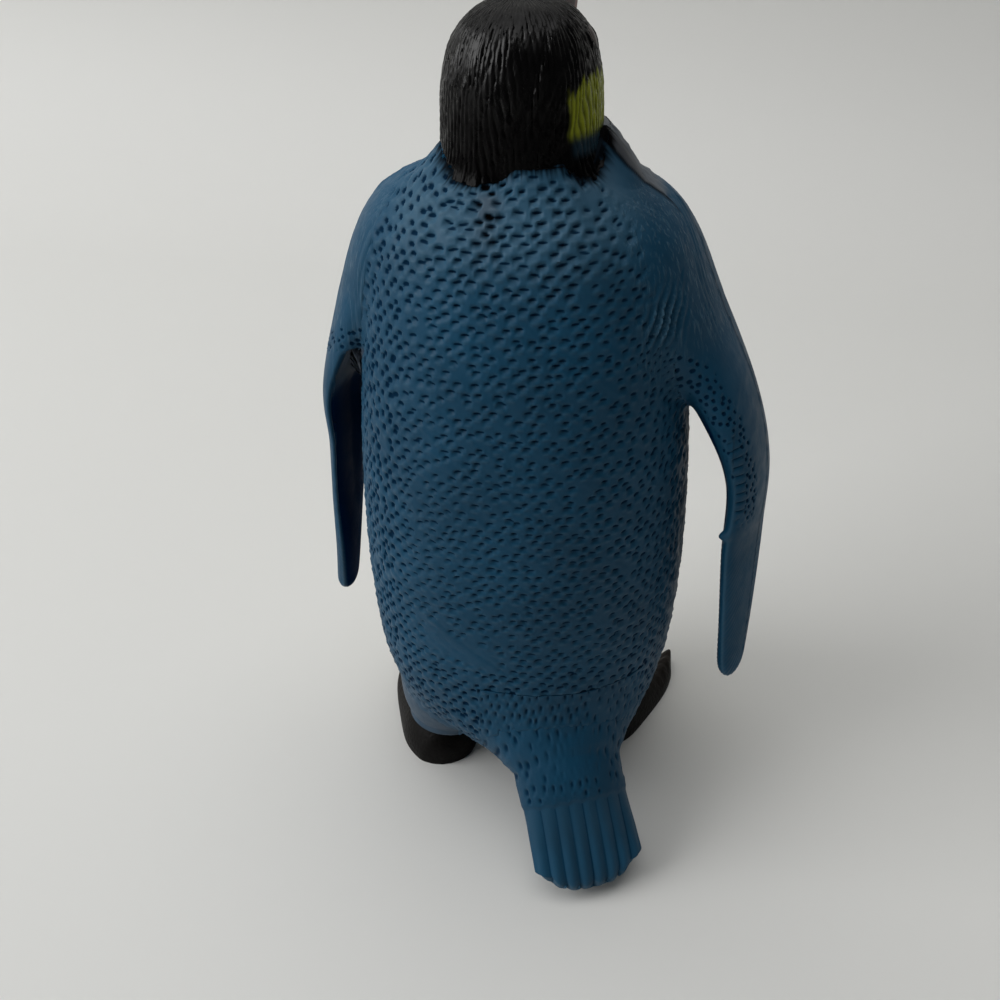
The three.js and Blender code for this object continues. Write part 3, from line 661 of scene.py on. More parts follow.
def flipper_skin(side):
    """Oval rings along the blade's path, rounded off at the tip. Streaks run down the upper arm, a
    band of round pits crosses it at the elbow and runs down the right one's rear edge, with ticks
    beside it, and the end has a fine slanted hatch. A line of mould flash stands up along both edges.
    The left one's inner face is let in below the elbow, near its rear edge."""
    fine = np.linspace(0, LAST_STATION, 2000)
    stations, run = even_stations(fine, through(FLIPPER[side], fine)[:, :3], FLIPPER_MESH)
    t, angle = rings(stations, FLIPPER_RING)
    middle, chord_way, thick_way, half_chord, half_thick = flipper_frame(t, side)
    tip = np.sqrt(np.clip(1 - np.clip(t - TIP_STATION, 0, 1) ** 2, 0.0004, 1))
    grid = middle + chord_way * (half_chord * np.cos(angle) * tip)[..., None]
    grid = grid + thick_way * (half_thick * np.sin(angle) * tip)[..., None]
    grid, middle = carried(grid, side), carried(middle, side)
    step = np.linalg.norm(np.roll(grid, -1, axis=1) - grid, axis=-1)
    around = np.cumsum(step, axis=1) - step
    whole = step.sum(axis=1, keepdims=True)
    around = np.where(around > whole / 2, around - whole, around)
    outer = -around
    normal = away_from(outward(grid, True), grid - middle)
    blend = np.interp(grid[..., 2], *ARM_BLEND[side])
    grid = swollen(grid, normal, lambda p: flipper_distance(p, side), trunk_distance, blend, FLIPPER_SWELL)
    down = np.broadcast_to(run[:, None], t.shape)
    elbow = t - ELBOW_SLANT * np.clip(outer, -5, 9)
    ledge = np.zeros_like(t)
    if side == "right":
        band = ease(t, 2.0, 2.15) * fall(t, 4.4, 4.7)
        band = band * fall(np.abs(outer - np.interp(t, *PIT_BAND)), 2.5, 3.2)
        ticks_on = ease(t, 3.2, 3.4) * fall(t, 4.3, 4.6) * fall(np.abs(outer - 1.2), 0.8, 1.3)
        band = band * (1 - ticks_on)
        nub = np.exp(-(((t - NUB_STATION) * 13) ** 2 + (around - 0.8) ** 2) / 0.7) * 1.3
    else:
        band = ease(elbow, 2.15, 2.18) * fall(elbow, 2.43, 2.46) * fall(np.abs(outer - 3), 9, 10)
        ticks_on, nub = np.zeros_like(t), np.zeros_like(t)
        ledge = ease(elbow, 2.44, 2.52) * fall(t, 4, 6) * ease(-outer, -0.6, 0.8) * fall(-outer, 8, 12)
    holes, shade = (p * band for p in pits(outer + 40, down, *ELBOW_PITS, wall=0.9, dash=0.4))
    streaks = arm_streaks(outer, down) * fall(t, 2.1, 2.5)
    ticks = ticks_on * np.clip(np.sin(down * 2 * np.pi / 1.7), 0, 1) ** 3
    hatch = ease(t, 4.7, 5.1) * np.sin((down * 0.8 + outer) * 7 + 2 * noise(down / 3, outer / 3))
    seam = bell(angle - MOULD_SEAM, 0.04)
    edge = bell(around, 0.35) + bell(np.abs(around) - whole / 2, 0.35)
    flash = (edge * ease(t, 2.6, 3.6) + seam) * fall(t, 7, 7.6) * FLASH
    flash = flash * (0.6 + 0.6 * noise(down * 1.3, t * 0))
    lift = STREAK_DEPTH * streaks + HATCH_DEPTH * hatch + flash + nub + armpit_folds(grid)
    lift = lift - ELBOW_PIT * holes - TICK_DEPTH * ticks - BLADE_LEDGE * ledge
    normal = away_from(outward(grid, True), normal)
    grid = grid + normal * lift[..., None]
    # Below the elbow the inner face, which lies in shadow, is painted navy as painted shade.
    inner_shade = ease(-outer - INNER_RIM[side], 0, 0.8) * ease(elbow, 2.75, 3.3)
    folds = np.clip(armpit_folds(grid) / WRINKLE_DEPTH, -1, 1)
    # Worn edges are real wear; the paler streak ridges and fold crests are painted highlight.
    worn = 0.35 * edge * ease(t, 3, 5) + 0.25 * np.clip(streaks, 0, 1) + 0.6 * np.clip(folds, 0, 1)
    marks = {
        # The pits, the ticks and the troughs of the folds are darkened with painted shade.
        "pit_dirt_and_shade": np.clip(shade + ticks * 0.6 - 0.5 * np.minimum(folds, 0), 0, 1),
        "inner_shade": inner_shade,
        "streak": 0.4 * fall(t, 2.2, 2.6),
        "smudge": 0.45 * seam * ease(t, 0.6, 1.2) * fall(t, 6, 7),
        "dust": 0.75 * ledge * ease(-outer, -0.2, 0.6) * fall(elbow, 2.75, 3.3),
        "wear_and_highlight": np.clip(worn, 0, 1),
    }
    return grid, marks


for side in ("left", "right"):
    skin_piece(f"{side}_flipper_skin", [flipper_skin(side)], blue_pvc, f"{side}_flipper")

# Back: the rear half of the trunk, blown in blue soft PVC and pitted all over to stand for feathers.
# The shoulders run out smoothly onto the flippers, a dirty grey strip over the right one leads to the
# breast, and the rump piece closes the opening below.
TAIL = np.array([
    # reach, height, half width, half thickness, shift to the left
    [20.0, 25.0, 14.5, 9.0, 0.0],
    [27.5, 20.5, 11.0, 8.4, 0.0],
    [33.5, 14.8, 10.2, 6.2, -0.3],
    [39.0, 9.0, 10.5, 4.0, -0.7],
    [43.5, 4.6, 10.6, 2.6, -0.8],
    [45.5, 2.6, 10.0, 1.6, -0.6],
])
TAIL_TURN = 25
SEAM_HEIGHT = 38.3
UNDERSIDE = 21.0
RUMP_FOOT = 14.5
RUMP_SPAN = (-56.5, 8.5)
RUMP_INSIDE = 0.955
TAIL_BLEND = 9.0
TAIL_SWELL = 8
ARM_SWELL = 7
LET_IN = {"left": 3.0, "right": 1.5, "low": 0.6}
TRUNK_MIDDLE = (0, 0, 60)
LOW_HEIGHT = 48
PIT_SEED = 5
PIT_PITCH = (2.55, 1.5)
PIT_DEPTH = 0.6
BARE_PLACE = (7.0, 83.8)
HEAD_TURN = -12
STRAND_REACH = (
    # degrees round the head from the back, reach of the painted strands down the neck in stations
    [-180, -90, -76, -64, -57, -50, -6, 3, 13, 26, 42, 60, 180],
    [0.08, 0.1, 0.2, 0.3, 0.22, 0.05, 0.05, 0.22, 0.33, 0.28, 0.1, 0.04, 0.04],
)
RUMP_PITS = (
    # pitch, half sizes, seed
    (1.6, 2.5),
    (0.38, 1.15),
    17,
)
UNEVEN = 0.1


def tail_frame(t):
    """Middle, upward direction and half sizes of the tail at stations t, before it is turned."""
    here = through(TAIL, t)
    run = through(TAIL, np.minimum(t + 0.01, len(TAIL) - 1)) - through(TAIL, np.maximum(t - 0.01, 0))
    flat = np.zeros(t.shape)
    middle = np.stack([here[..., 4], here[..., 0], here[..., 1]], -1)
    upward = np.stack([flat, -run[..., 1], run[..., 0]], -1)
    upward /= np.linalg.norm(upward, axis=-1, keepdims=True)
    return middle, upward, here[..., 2], here[..., 3]


def tail_distance(points):
    """Distance from points to the tail's plain skin, in the oval of their nearest station."""
    points = turned(points, -TAIL_TURN)
    last = len(TAIL) - 1
    line = tail_frame(np.linspace(0, last, LINE_POINTS))[0]
    station, before = nearest_station(points * [0, 1, 1], line * [0, 1, 1], last)
    middle, upward, half_width, half_thick = tail_frame(station)
    offset = points - middle
    up = np.einsum("pj,pj->p", offset, upward)
    return np.maximum(oval_distance(offset[:, 0], up, half_width, half_thick), before)


def on_grid(distance, grid, *side):
    """Distances from the points of a grid to a body, or to the one of a side."""
    return distance(grid.reshape(-1, 3), *side).reshape(grid.shape[:2])


def trunk_rows(spacing, underside):
    """Stations of rows down the middle of the back, even down to the underside and a few below, and
    their run."""
    fine = np.linspace(0, len(TRUNK) - 1, 4000)
    line = trunk_skin(fine, np.zeros(len(fine)))
    run = run_along(line)
    turn = np.interp(-UNDERSIDE, -line[:, 2], run)
    wanted = np.concatenate([np.arange(0, turn, spacing), np.linspace(turn, run[-1], underside)])
    return np.interp(wanted, run, fine), wanted


def trunk_grid(rows, run, angles):
    """The trunk's skin swollen where it meets flippers, tail and legs, with its pits. Round the neck
    the pits are wide and deep, on the flanks tall and narrow, on the rump slim dashes. They fade
    where arms and legs begin and on one bare place low on the back, and folds cross the right
    armpit. Gives the grid, its normals, the pits' relief and shade, how far each point lies around
    from the middle and down from the neck, and the painted highlight that lightens the lips under
    the pits, the crests of the folds and a band below the neck."""
    t, angle = np.meshgrid(rows, angles, indexing="ij")
    grid = trunk_skin(t, angle)
    normal = away_from(outward(grid, False), grid - TRUNK_MIDDLE)
    flat, way = grid.reshape(-1, 3), normal.reshape(-1, 3)
    lift = np.zeros(len(flat))
    low, full = flat[:, 2] < LOW_HEIGHT, np.ones(len(flat))
    blend = {side: np.interp(flat[:, 2], *ARM_BLEND[side]) for side in ("left", "right")}
    bodies = [
        # where it can be near, distance to it, rounding, most swell, which let-in it has
        (flat[:, 0] > 5, lambda p: flipper_distance(p, "left"), blend["left"], ARM_SWELL, "left"),
        (flat[:, 0] < -5, lambda p: flipper_distance(p, "right"), blend["right"], ARM_SWELL, "right"),
        (low, tail_distance, TAIL_BLEND * full, TAIL_SWELL, "low"),
        (low, lambda p: leg_distance(p, "left"), LEG_BLEND * full, LEG_SWELL, "low"),
        (low, lambda p: leg_distance(p, "right"), LEG_BLEND * full, LEG_SWELL, "low"),
    ]
    for close, distance, rounding, limit, part in bodies:
        rise = swell(
            flat[close], way[close], trunk_distance, distance, rounding[close], limit, LET_IN[part]
        )
        lift[close] = np.where(np.abs(rise) > np.abs(lift[close]), rise, lift[close])
    grid = (flat + way * lift[:, None]).reshape(grid.shape)
    arms = np.minimum(*(on_grid(flipper_distance, grid, side) for side in ("left", "right")))
    legs = np.minimum(*(on_grid(leg_distance, grid, side) for side in ("left", "right")))
    step = np.linalg.norm(np.diff(grid, axis=1), axis=-1)
    around = np.concatenate([np.zeros((len(rows), 1)), np.cumsum(step, axis=1)], axis=1)
    around = around - around[:, [np.argmin(np.abs(angles))]]
    down = np.broadcast_to(run[:, None], t.shape)
    flank = ease(angle, math.radians(28), math.radians(52)) + 0.7 * ease(down, 80, 105)
    flank = np.clip(flank + 0.5 * ease(-angle, math.radians(30), math.radians(65)), 0, 1)
    flank = flank * (0.5 + 0.5 * ease(down, 15, 50))
    collar = bell(down - 11, 8) * fall(np.abs(around), 9, 18)
    # A paler band just below the neck is painted sheen.
    rubbed_and_sheen = bell(down - 7, 9) * fall(np.abs(around), 16, 26)
    half = (0.78 - 0.14 * flank + 0.2 * collar, 0.63 + 0.72 * flank + 0.25 * collar)
    lean = -0.3 * ease(-angle, math.radians(30), math.radians(65))
    dash, lie = 0.25 + 0.6 * flank, 0.45 - 0.3 * flank
    scoops, shade = pits(around + 200, 400 - down, PIT_PITCH, half, PIT_SEED, lean, dash=dash, lie=lie)
    off_rump = np.abs(np.degrees(angle) - sum(RUMP_SPAN) / 2)
    rump = (grid[..., 2] < SEAM_HEIGHT) * (off_rump < np.diff(RUMP_SPAN) / 2)
    tall, tall_shade = pits(around + 200, 400 - down, *RUMP_PITS, tilt=0.2, dash=0.9, lie=0.2)
    scoops, shade = np.where(rump, 0.8 * tall, scoops), np.where(rump, 0.7 * tall_shade, shade)
    fade = np.maximum(ease(arms, 0.3, 1.8), ease(down, 85, 90)) * ease(down, 0.3, 1.2)
    fade = fade * (1 - ease(-np.degrees(angle), 56, 62) * fall(down, 30, 34))
    fade = fade * (1 - 0.15 * ease(-np.degrees(angle), 25, 50) * fall(down, 30, 60))
    aside, below = around - BARE_PLACE[0], down - BARE_PLACE[1]
    level = fall(np.abs(aside), 6.5, 8) * fall(np.abs(below + 0.25 * aside), 2.2, 3.4)
    fade = fade * (1 - 0.9 * level * (np.abs(angle) < math.pi / 2))
    fade = fade * (0.25 + 0.75 * ease(legs, 0.5, 4))
    scoops, shade = scoops * fade, shade * fade
    start, stretch = ARM_BAND[0], ARM_BAND[1] - ARM_BAND[0]
    along = np.clip((grid - start) @ stretch / (stretch @ stretch), 0, 1)
    band = fall(np.linalg.norm(grid - start - along[..., None] * stretch, axis=-1), 2.0, 2.6)
    holes, dark = pits(around + 200, 400 - down, *ELBOW_PITS, lean=-0.5, wall=0.9, dash=0.4)
    scoops, shade = scoops * (1 - band) + 0.8 * holes * band, shade * (1 - band) + dark * band
    normal = away_from(outward(grid, False), grid - TRUNK_MIDDLE)
    folds = armpit_folds(grid)
    lift = UNEVEN * noise(around / 1.6, down / 1.6) + folds - PIT_DEPTH * scoops * (1 + 0.3 * collar)
    # Painted highlight: the raised lips under the pits, the fold crests and the band below the neck are
    # lightened.
    light = 0.3 * np.clip(-scoops / LIP, 0, 1) + 0.9 * np.clip(folds / WRINKLE_DEPTH, 0, 1) + 0.42 * rubbed_and_sheen
    light = np.clip(light, 0, 1)
    return grid + normal * lift[..., None], normal, scoops, shade, around, down, light


BACK_MESH = 0.305
BACK_UNDER = 14
BACK_COLUMNS = 250
STRIP_EDGE = (
    # heights, degrees round to the right where the grey strip begins
    [120.7, 123.6, 125.9, 127, 129, 131.5],
    [90, 86.4, 81.1, 78.5, 77, 80],
)
rows, run = trunk_rows(BACK_MESH, BACK_UNDER)
share = np.linspace(-1, 1, BACK_COLUMNS)
angles = math.pi / 2 * (0.74 * share + 0.26 * share**3)
grid, normal, scoops, shade, around, down, light = trunk_grid(rows, run, angles)
heights = through(TRUNK, rows)[:, 0]
seam_row = int(np.argmin(np.abs(heights - SEAM_HEIGHT)))
foot_row = int(np.argmin(np.abs(heights - RUMP_FOOT)))
first_column, last_column = (int(np.argmin(np.abs(angles - math.radians(a)))) for a in RUMP_SPAN)
opening = np.zeros(grid.shape[:2])
opening[seam_row + 1 : foot_row, first_column : last_column + 1] = 1
smudge = bell(around - 2.8 + 0.6 * noise(down, around), 1.7) * fall(down, 5, 14)
dark = np.clip(scoops, 0, 1)
round_head = np.broadcast_to(np.degrees(angles) + HEAD_TURN, down.shape)
below_tips = down - np.interp(np.interp(round_head, *STRAND_REACH), rows, run)
brushed = below_tips + 0.45 * noise(round_head * 1.9 + 5, down / 5)
brushed = brushed + 0.5 * noise(round_head * 0.7, down / 9)
overspray = fall(brushed, -0.5, 1.5)
dusty = 0.3 * ease(angles, math.radians(20), math.radians(65)) * ease(down, 88, 112)
armpit = on_grid(flipper_distance, grid, "left")
# The recess under the left arm is darkened navy with painted shade and greyed with dust.
recess = fall(armpit, 0.8, 2.2) * fall(grid[..., 2], 95.5, 97.5) * ease(grid[..., 2], 80, 86)
shoulder = ease(-np.degrees(angles), 48, 56) * fall(down, 30, 38) * ease(down, 3, 8)
past_strip = -np.degrees(angles) - np.interp(grid[..., 2], *STRIP_EDGE)
strip = ease(past_strip, 0, 1.2) * ease(grid[..., 2], 119, 121)
strip_line = bell(past_strip, 1.4) * ease(grid[..., 2], 118, 121)
strip_line = strip_line + 0.33 * strip * ease(grid[..., 2], 124, 129)
dust = 0.4 * smudge * (1 - 2 * dark) * ease(down, 2, 4) + dusty + 0.6 * recess + 0.9 * strip
marks = {
    # The pits' dashes are painted shade as well as dirt, and the paler lips, fold crests and neck band are
    # painted highlight.
    "pit_dirt_and_shade": shade,
    "wear_and_highlight": light,
    "inner_shade": 0.4 * recess,
    "streak": 0.5 * shoulder,
    "smudge": np.clip(0.95 * overspray + smudge * (2.6 * dark - 0.1) + 0.9 * strip_line, 0, 1),
    "dust": np.clip(dust, 0, 1),
}
inside = trunk_skin(*np.meshgrid(rows, angles, indexing="ij")) * [RUMP_INSIDE, RUMP_INSIDE, 1]
back_grid = np.where(opening[..., None] > 0, inside, grid)
skin_piece("back_skin", [(back_grid, marks)], blue_pvc, "back_shell")

# Rump and tail: one plug of blue soft PVC glued into the back along an open seam. Its pits stretch
# into dashes and end at a small step, where eight overlapping tail feathers begin.
FEATHERS = 8
SEAM_SHARE = 0.6
FEATHER_DEPTH = 0.5
FEATHER_TILT = 0.25
RUMP_PIT = 0.4
TAIL_STEP = 0.2
PATCH_PROUD = 0.03
TUCK_ROWS = 16
TUCK = 0.2
TAIL_MESH = (210, 260)
TAIL_PITS = (
    # pitch, half sizes, seed
    (1.6, 2.5),
    (0.36, 1.15),
    23,
)
TAIL_ROUND = 5.0
SCALLOP = 0.4
patch_rows = slice(seam_row, foot_row)
patch_columns = slice(first_column - 2, last_column + 3)
proud = grid[patch_rows, patch_columns] + PATCH_PROUD * normal[patch_rows, patch_columns]
proud[0] += SEAM_SHARE * (proud[1] - proud[0])
proud[-TUCK_ROWS:, :, :2] *= 1 - TUCK * ease(np.arange(TUCK_ROWS), 0, TUCK_ROWS - 1)[:, None, None]
patch_marks = {key: marks[key][patch_rows, patch_columns] for key in ("pit_dirt_and_shade", "wear_and_highlight")}


def tail_skin():
    """Oval rings along the tail, swollen where it leaves the trunk. Over its faces lie eight feathers,
    each an arch of a sine that rises to one side. The end is cut to a shallow arc, with a scallop
    for each feather. Before the feathers come slim dashes, with a bald place in the middle."""
    t, angle = rings(np.linspace(0, len(TAIL) - 1, TAIL_MESH[0]), TAIL_MESH[1])
    middle, upward, half_width, half_thick = tail_frame(t)
    across = np.cos(angle)
    end = np.sqrt(np.clip(1 - ((t - 4.5) / 0.5).clip(0, 1) ** 2, 0.01, 1))
    grid = middle + upward * (half_thick * end * np.sin(angle))[..., None]
    grid[..., 0] += half_width * across
    feather = (across * 0.98 + 1) / 2 * FEATHERS
    share = feather - np.floor(feather)
    late = ease(t, 3.2, 5)
    back = TAIL_ROUND * late * np.abs(across) ** 3 + SCALLOP * late * (2 * share - 1) ** 2
    grid = grid - np.stack([0 * back, upward[..., 2] * back, -upward[..., 1] * back], -1)
    grid, middle = turned(grid, TAIL_TURN), turned(middle, TAIL_TURN)
    normal = away_from(outward(grid, True), grid - middle)
    blend = np.maximum(TAIL_BLEND * fall(t, 0.9, 1.7), 0.1)
    grid = swollen(grid, normal, tail_distance, trunk_distance, blend, TAIL_SWELL, fall(t, 1.3, 1.9))
    arch = np.sin(np.pi * share)
    begun = ease(t + 0.05 * arch, 1.98, 2.12)
    face = ease(np.abs(np.sin(angle)), 0.05, 0.4)
    opened = begun * (0.35 + 0.65 * ease(t, 2, 3.6))
    feathers = opened * face * (FEATHER_DEPTH * (arch - 1) + FEATHER_TILT * (share - 0.5) * arch)
    run = across * half_width + 100
    dashes, shade = pits(run, 200 - t * 8.2, *TAIL_PITS, tilt=0.2, dash=0.95, lie=0.2)
    bald = bell(across * half_width + 1, 4.5) * ease(t, 0.7, 0.9) * fall(t, 1.45, 1.6)
    pitted = fall(t, 1.9, 2.0) * ease(np.sin(angle), -0.35, -0.2) * (1 - 0.85 * bald)
    dashes, shade = dashes * pitted, shade * pitted
    lift = feathers - RUMP_PIT * dashes + TAIL_STEP * (1 - begun) * ease(t, 1.0, 1.9)
    lift = lift * np.clip(half_thick * end / 2.0, 0, 1)
    normal = away_from(outward(grid, True), normal)
    grid = grid + normal * lift[..., None]
    grid[..., 2] = np.maximum(grid[..., 2], 0.5)
    # The grooves between the feathers are darkened with painted shade. The paler tip is wear, and the
    # feather arches are lightened as painted highlight.
    groove = begun * face * (1 - arch)
    worn = 0.3 * ease(t, 4.3, 5) + 0.12 * begun * arch
    return grid, {"pit_dirt_and_shade": np.clip(0.7 * shade + 0.6 * groove**2, 0, 1), "wear_and_highlight": worn}


skin_piece("tail_skin", [(proud, patch_marks), tail_skin()], blue_pvc, "tail_piece")

# Breast: the front half of the trunk in cream PVC, glued to the back on a lip. A black line is painted
# along the joint, thin at the neck and wider down the flank. Over the right shoulder its edge is a bare
# grey strip, and the blue of the arms is sprayed a little way onto it.
CREAM = "#d3d0c4"
CREAM_GREY = "#555d66"
CREAM_WARM = "#d6bd78"
BORDER_BLACK = "#09080a"
BREAST_MESH = 0.55
BREAST_UNDER = 16
BREAST_COLUMNS = 150
BREAST_PIT = 0.35
rows, run = trunk_rows(BREAST_MESH, BREAST_UNDER)
angles = np.linspace(math.pi / 2, 3 * math.pi / 2, BREAST_COLUMNS)
grid, normal, scoops = trunk_grid(rows, run, angles)[:3]
height = grid[..., 2]
from_joint = np.minimum(angles - math.pi / 2, 3 * math.pi / 2 - angles)
from_joint = from_joint * np.hypot(grid[..., 0], grid[..., 1])
width = np.interp(height, [60, 100, 112, 118, 127], [3.5, 3.0, 1.4, 1.3, 1.2])
middle = ease(from_joint / 29, 0.5, 1.1)
arms = [on_grid(flipper_distance, grid, side) for side in ("left", "right")]
own = on_grid(trunk_distance, grid)
reach = np.interp(height, [110, 116, 121], [3.1, 1.8, 0.4])
soft = np.interp(height, [110, 121], [0.5, 1.2])
under_right = fall(arms[1] - own, reach, reach + soft) * fall(height, 121, 124)
under_arm = np.maximum(fall(arms[0], 2.4, 2.9), under_right)
legs = [on_grid(leg_distance, grid, side) for side in ("left", "right")]
hem = fall(np.minimum(*legs) - own, 0.6, 2.2)
shoulder = (grid[..., 0] > 0) * ease(height, 110, 116) * fall(from_joint, 9, 12)
breast_marks = {
    "border": np.where(
        (grid[..., 0] < 0) & (height > 118),
        0.3 * ease(height, 124, 129) * fall(from_joint, 3, 9),
        fall(from_joint / width, 0.8, 1.1),
    ),
    "grey": np.maximum(ease(height, 108, 122), hem),
    "blue": np.maximum(np.maximum(shoulder, 0.6 * hem), under_arm * ease(height, 76, 80)),
    "warm": ease(height, 96, 112) * fall(height, 114, 124) * middle,
    # Deeper pits are greyed with dirt and painted shade.
    "pit_dirt_and_shade": np.clip(scoops, 0, 1) * 0.4,
}
grid = grid + normal * ((PIT_DEPTH - BREAST_PIT) * scoops)[..., None]
# Soft PVC in cream: dull and faintly yellow, greyed in its shallow pits with dirt and painted
# shade. The painted border has the same dull skin.
cream_pvc, tree = new_material("soft_pvc_cream")
place = node(tree, "TexCoord", {}).outputs["Object"]
fine = node(tree, "TexNoise", {"Vector": place, "Scale": 1 / (FINE_MM * MM), "Detail": 2.0})
cloud = node(tree, "TexNoise", {"Vector": place, "Scale": 1 / (CLOUD_MM * MM), "Detail": 4.0})
tone = linear(CREAM)
for key, colour in (
    ("warm", CREAM_WARM),
    ("grey", CREAM_GREY),
    ("pit_dirt_and_shade", CREAM_GREY),
    ("border", BORDER_BLACK),
    ("blue", BLUE),
):
    amount = node(tree, "Attribute", {}, attribute_name=key).outputs["Fac"]
    tone = node(tree, "Mix", {0: amount, 6: tone, 7: linear(colour)}, data_type="RGBA").outputs[2]
level = node(tree, "MapRange", {"Value": amount, "To Min": 0.5, "To Max": SHEEN})
gloss = node(tree, "MapRange", {"Value": cloud.outputs["Fac"], "To Min": 0.45, "To Max": 0.65})
grain_bump = node(tree, "Bump", {"Height": fine.outputs["Fac"], "Strength": 0.16, "Distance": 0.0001})
shader = node(
    tree,
    "BsdfPrincipled",
    {
        "Base Color": tone,
        "Roughness": gloss.outputs[0],
        "IOR": PLASTIC_IOR,
        "Specular IOR Level": level.outputs[0],
        "Normal": grain_bump.outputs[0],
    },
)
node(tree, "OutputMaterial", {"Surface": shader.outputs[0]})
skin_piece("breast_skin", [(grid, breast_marks)], cream_pvc, "breast_shell")

# Head: a hollow dome of PVC slipped over the neck, painted black. Long strand ridges run down it and
# end ragged on the collar. A yellow-green patch is sprayed behind each cheek, with a blue haze below.
HEAD = np.array([
    # height above the rim, half width, depth to the back, depth to the face
    [0.0, 12.3, 11.8, 12.0],
    [6.0, 12.2, 12.0, 12.4],
    [12.0, 11.6, 11.6, 12.9],
    [17.0, 9.9, 10.2, 12.0],
    [20.6, 6.6, 7.0, 8.4],
    [22.2, 2.4, 2.4, 2.9],
])
HEAD_FULLNESS = 2.1
RIM_HEIGHT = 127.3
HEAD_ASIDE = 0.25
STRANDS = 86
STRAND_DEPTH = 0.3
STRAND_THICK = 0.12
SKIRT_JOIN = 0.8
SKIRT_ROWS = 26
HEAD_MESH = 0.24
HEAD_COLUMNS = 430
STRAND_SEED = 3
PAINT_EDGE = (
    # degrees round the head from the back, height where its paint ends
    [-180, -58, -46, -27, -8, 0, 22, 30, 42, 62, 90, 120, 150, 180],
    [120, 126.6, 128.0, 127.6, 126.4, 120, 120, 126.8, 127.9, 130.0, 130.5, 128, 120, 120],
)
EYE_PLACE = (2.95, 106)
EYE_HALF = 1.5
BARE_SUNK = 1.0


def head_skin(t, angle):
    """The head's full ovals, turned and set on the neck."""
    return turned(full_oval(HEAD, HEAD_FULLNESS, t, angle), HEAD_TURN) + [HEAD_ASIDE, 0, RIM_HEIGHT]


columns = np.linspace(-math.pi, math.pi, HEAD_COLUMNS, False)
strand_luck = np.random.default_rng(STRAND_SEED).random((3, STRANDS))
strand = np.floor(columns * STRANDS / (2 * math.pi) + 0.3 * noise(columns * 9 + 3)).astype(int) % STRANDS
reach = np.interp(np.degrees(columns), *STRAND_REACH) * (0.72 + 0.5 * strand_luck[0][strand])
round_trunk = columns - math.radians(HEAD_TURN)
foot = trunk_skin(reach, round_trunk)
lower = trunk_skin(reach + 0.05, round_trunk) - foot
sideways = np.roll(foot, -1, axis=0) - np.roll(foot, 1, axis=0)
collar_out = away_from(np.cross(sideways, lower)[None], foot[None] * [1, 1, 0] + [0, 0, 6])[0]
collar_out /= np.linalg.norm(collar_out, axis=-1, keepdims=True)
brow = head_skin(np.full(len(columns), SKIRT_JOIN), columns)
corner = head_skin(np.full(len(columns), 0.05), columns) * [1.02, 1.02, 1]
tips = foot + collar_out * STRAND_THICK
s = np.linspace(0, 1, SKIRT_ROWS)[:, None, None]
skirt = tips * (1 - s) ** 2 + corner * 2 * s * (1 - s) + brow * s**2
under = np.stack([foot * [0.7, 0.7, 1], foot - 0.3 * collar_out])
fine = np.linspace(SKIRT_JOIN, len(HEAD) - 1, 1500)
stations = even_stations(fine, head_skin(fine, np.zeros(len(fine))), HEAD_MESH)[0]
dome = head_skin(*np.meshgrid(stations[1:], columns, indexing="ij"))
grid = np.concatenate([under, skirt, dome], axis=0)
angle = np.broadcast_to(columns, grid.shape[:2])
height = grid[..., 2]
up = np.cumsum(np.linalg.norm(np.diff(grid, axis=0, prepend=grid[:1]), axis=-1), axis=0)
wander = 0.55 * noise(up / 4.5, angle * 4) + 0.3 * noise(up / 1.8 + 3, angle * 9)
phase = angle * STRANDS / (2 * math.pi) + wander
strand_number = np.floor(phase).astype(int) % STRANDS
ridge = np.abs(np.sin(math.pi * phase)) ** 0.8
hairs = np.abs(np.sin(math.pi * (2.6 * phase + noise(up / 3, angle * 5))))
depth = STRAND_DEPTH * (0.5 + 0.9 * strand_luck[1][strand_number])
broken = 0.55 + 0.45 * noise(up / 1.6, angle * 14 + 2)
strand_lift = depth * (ridge - 0.6) * broken + 0.07 * hairs + 0.06 * noise(up / 0.7, angle * 26)
strand_lift = strand_lift * (1 - 0.6 * ease(height, 146, 149.3))
strand_lift = strand_lift * (1 - 0.6 * ease(np.abs(angle), math.radians(120), math.radians(150)))
paint_edge = np.interp(np.degrees(angle), *PAINT_EDGE) + 0.5 * (strand_luck[2][strand_number] - 0.5)
bare = ease(paint_edge - height + 0.4 * noise(angle * 40, height / 3), -0.35, 0.35)
eye_station, eye_degrees = np.array(EYE_PLACE)
eyes = [head_skin(eye_station, np.radians(a)) for a in (eye_degrees, -eye_degrees)]
eye_off = np.min([np.linalg.norm(grid - e, axis=-1) for e in eyes], axis=0)
eye = fall(eye_off, EYE_HALF * 0.8, EYE_HALF)
lid = bell(eye_off - EYE_HALF * 1.25, 0.45)
bulge = 0.5 * np.sqrt(np.clip(1 - (eye_off / EYE_HALF) ** 2, 0, 1)) + 0.3 * lid
normal = away_from(outward(grid, True), grid * [1, 1, 0] + [0, 0, 6])
strand_lift = strand_lift * (0.6 + 0.4 * ease(up - up[2], 0, 2.5))
lift = (strand_lift * (1 - eye) + bulge) * (1 - bare) - BARE_SUNK * bare
lift[:2] = 0
grid = grid + normal * lift[..., None]
round_side = np.degrees(np.abs(angle))
starts = np.where(angle < 0, 55.0, 74.0)
patch_top = np.interp(round_side, [50, 75, 110, 130], [137.6, 139.6, 139.6, 136.5])
patch = ease(round_side + 1.5 * noise(up, angle * 7), starts - 1, starts + 3) * fall(round_side, 120, 130)
patch = patch * ease(height, 131.2, 133.2)
patch = patch * fall(height + 1.1 * noise(phase * 2, up / 2), patch_top - 0.6, patch_top + 0.4)
haze = ease(round_side, starts, starts + 8) * fall(round_side, 120, 130)
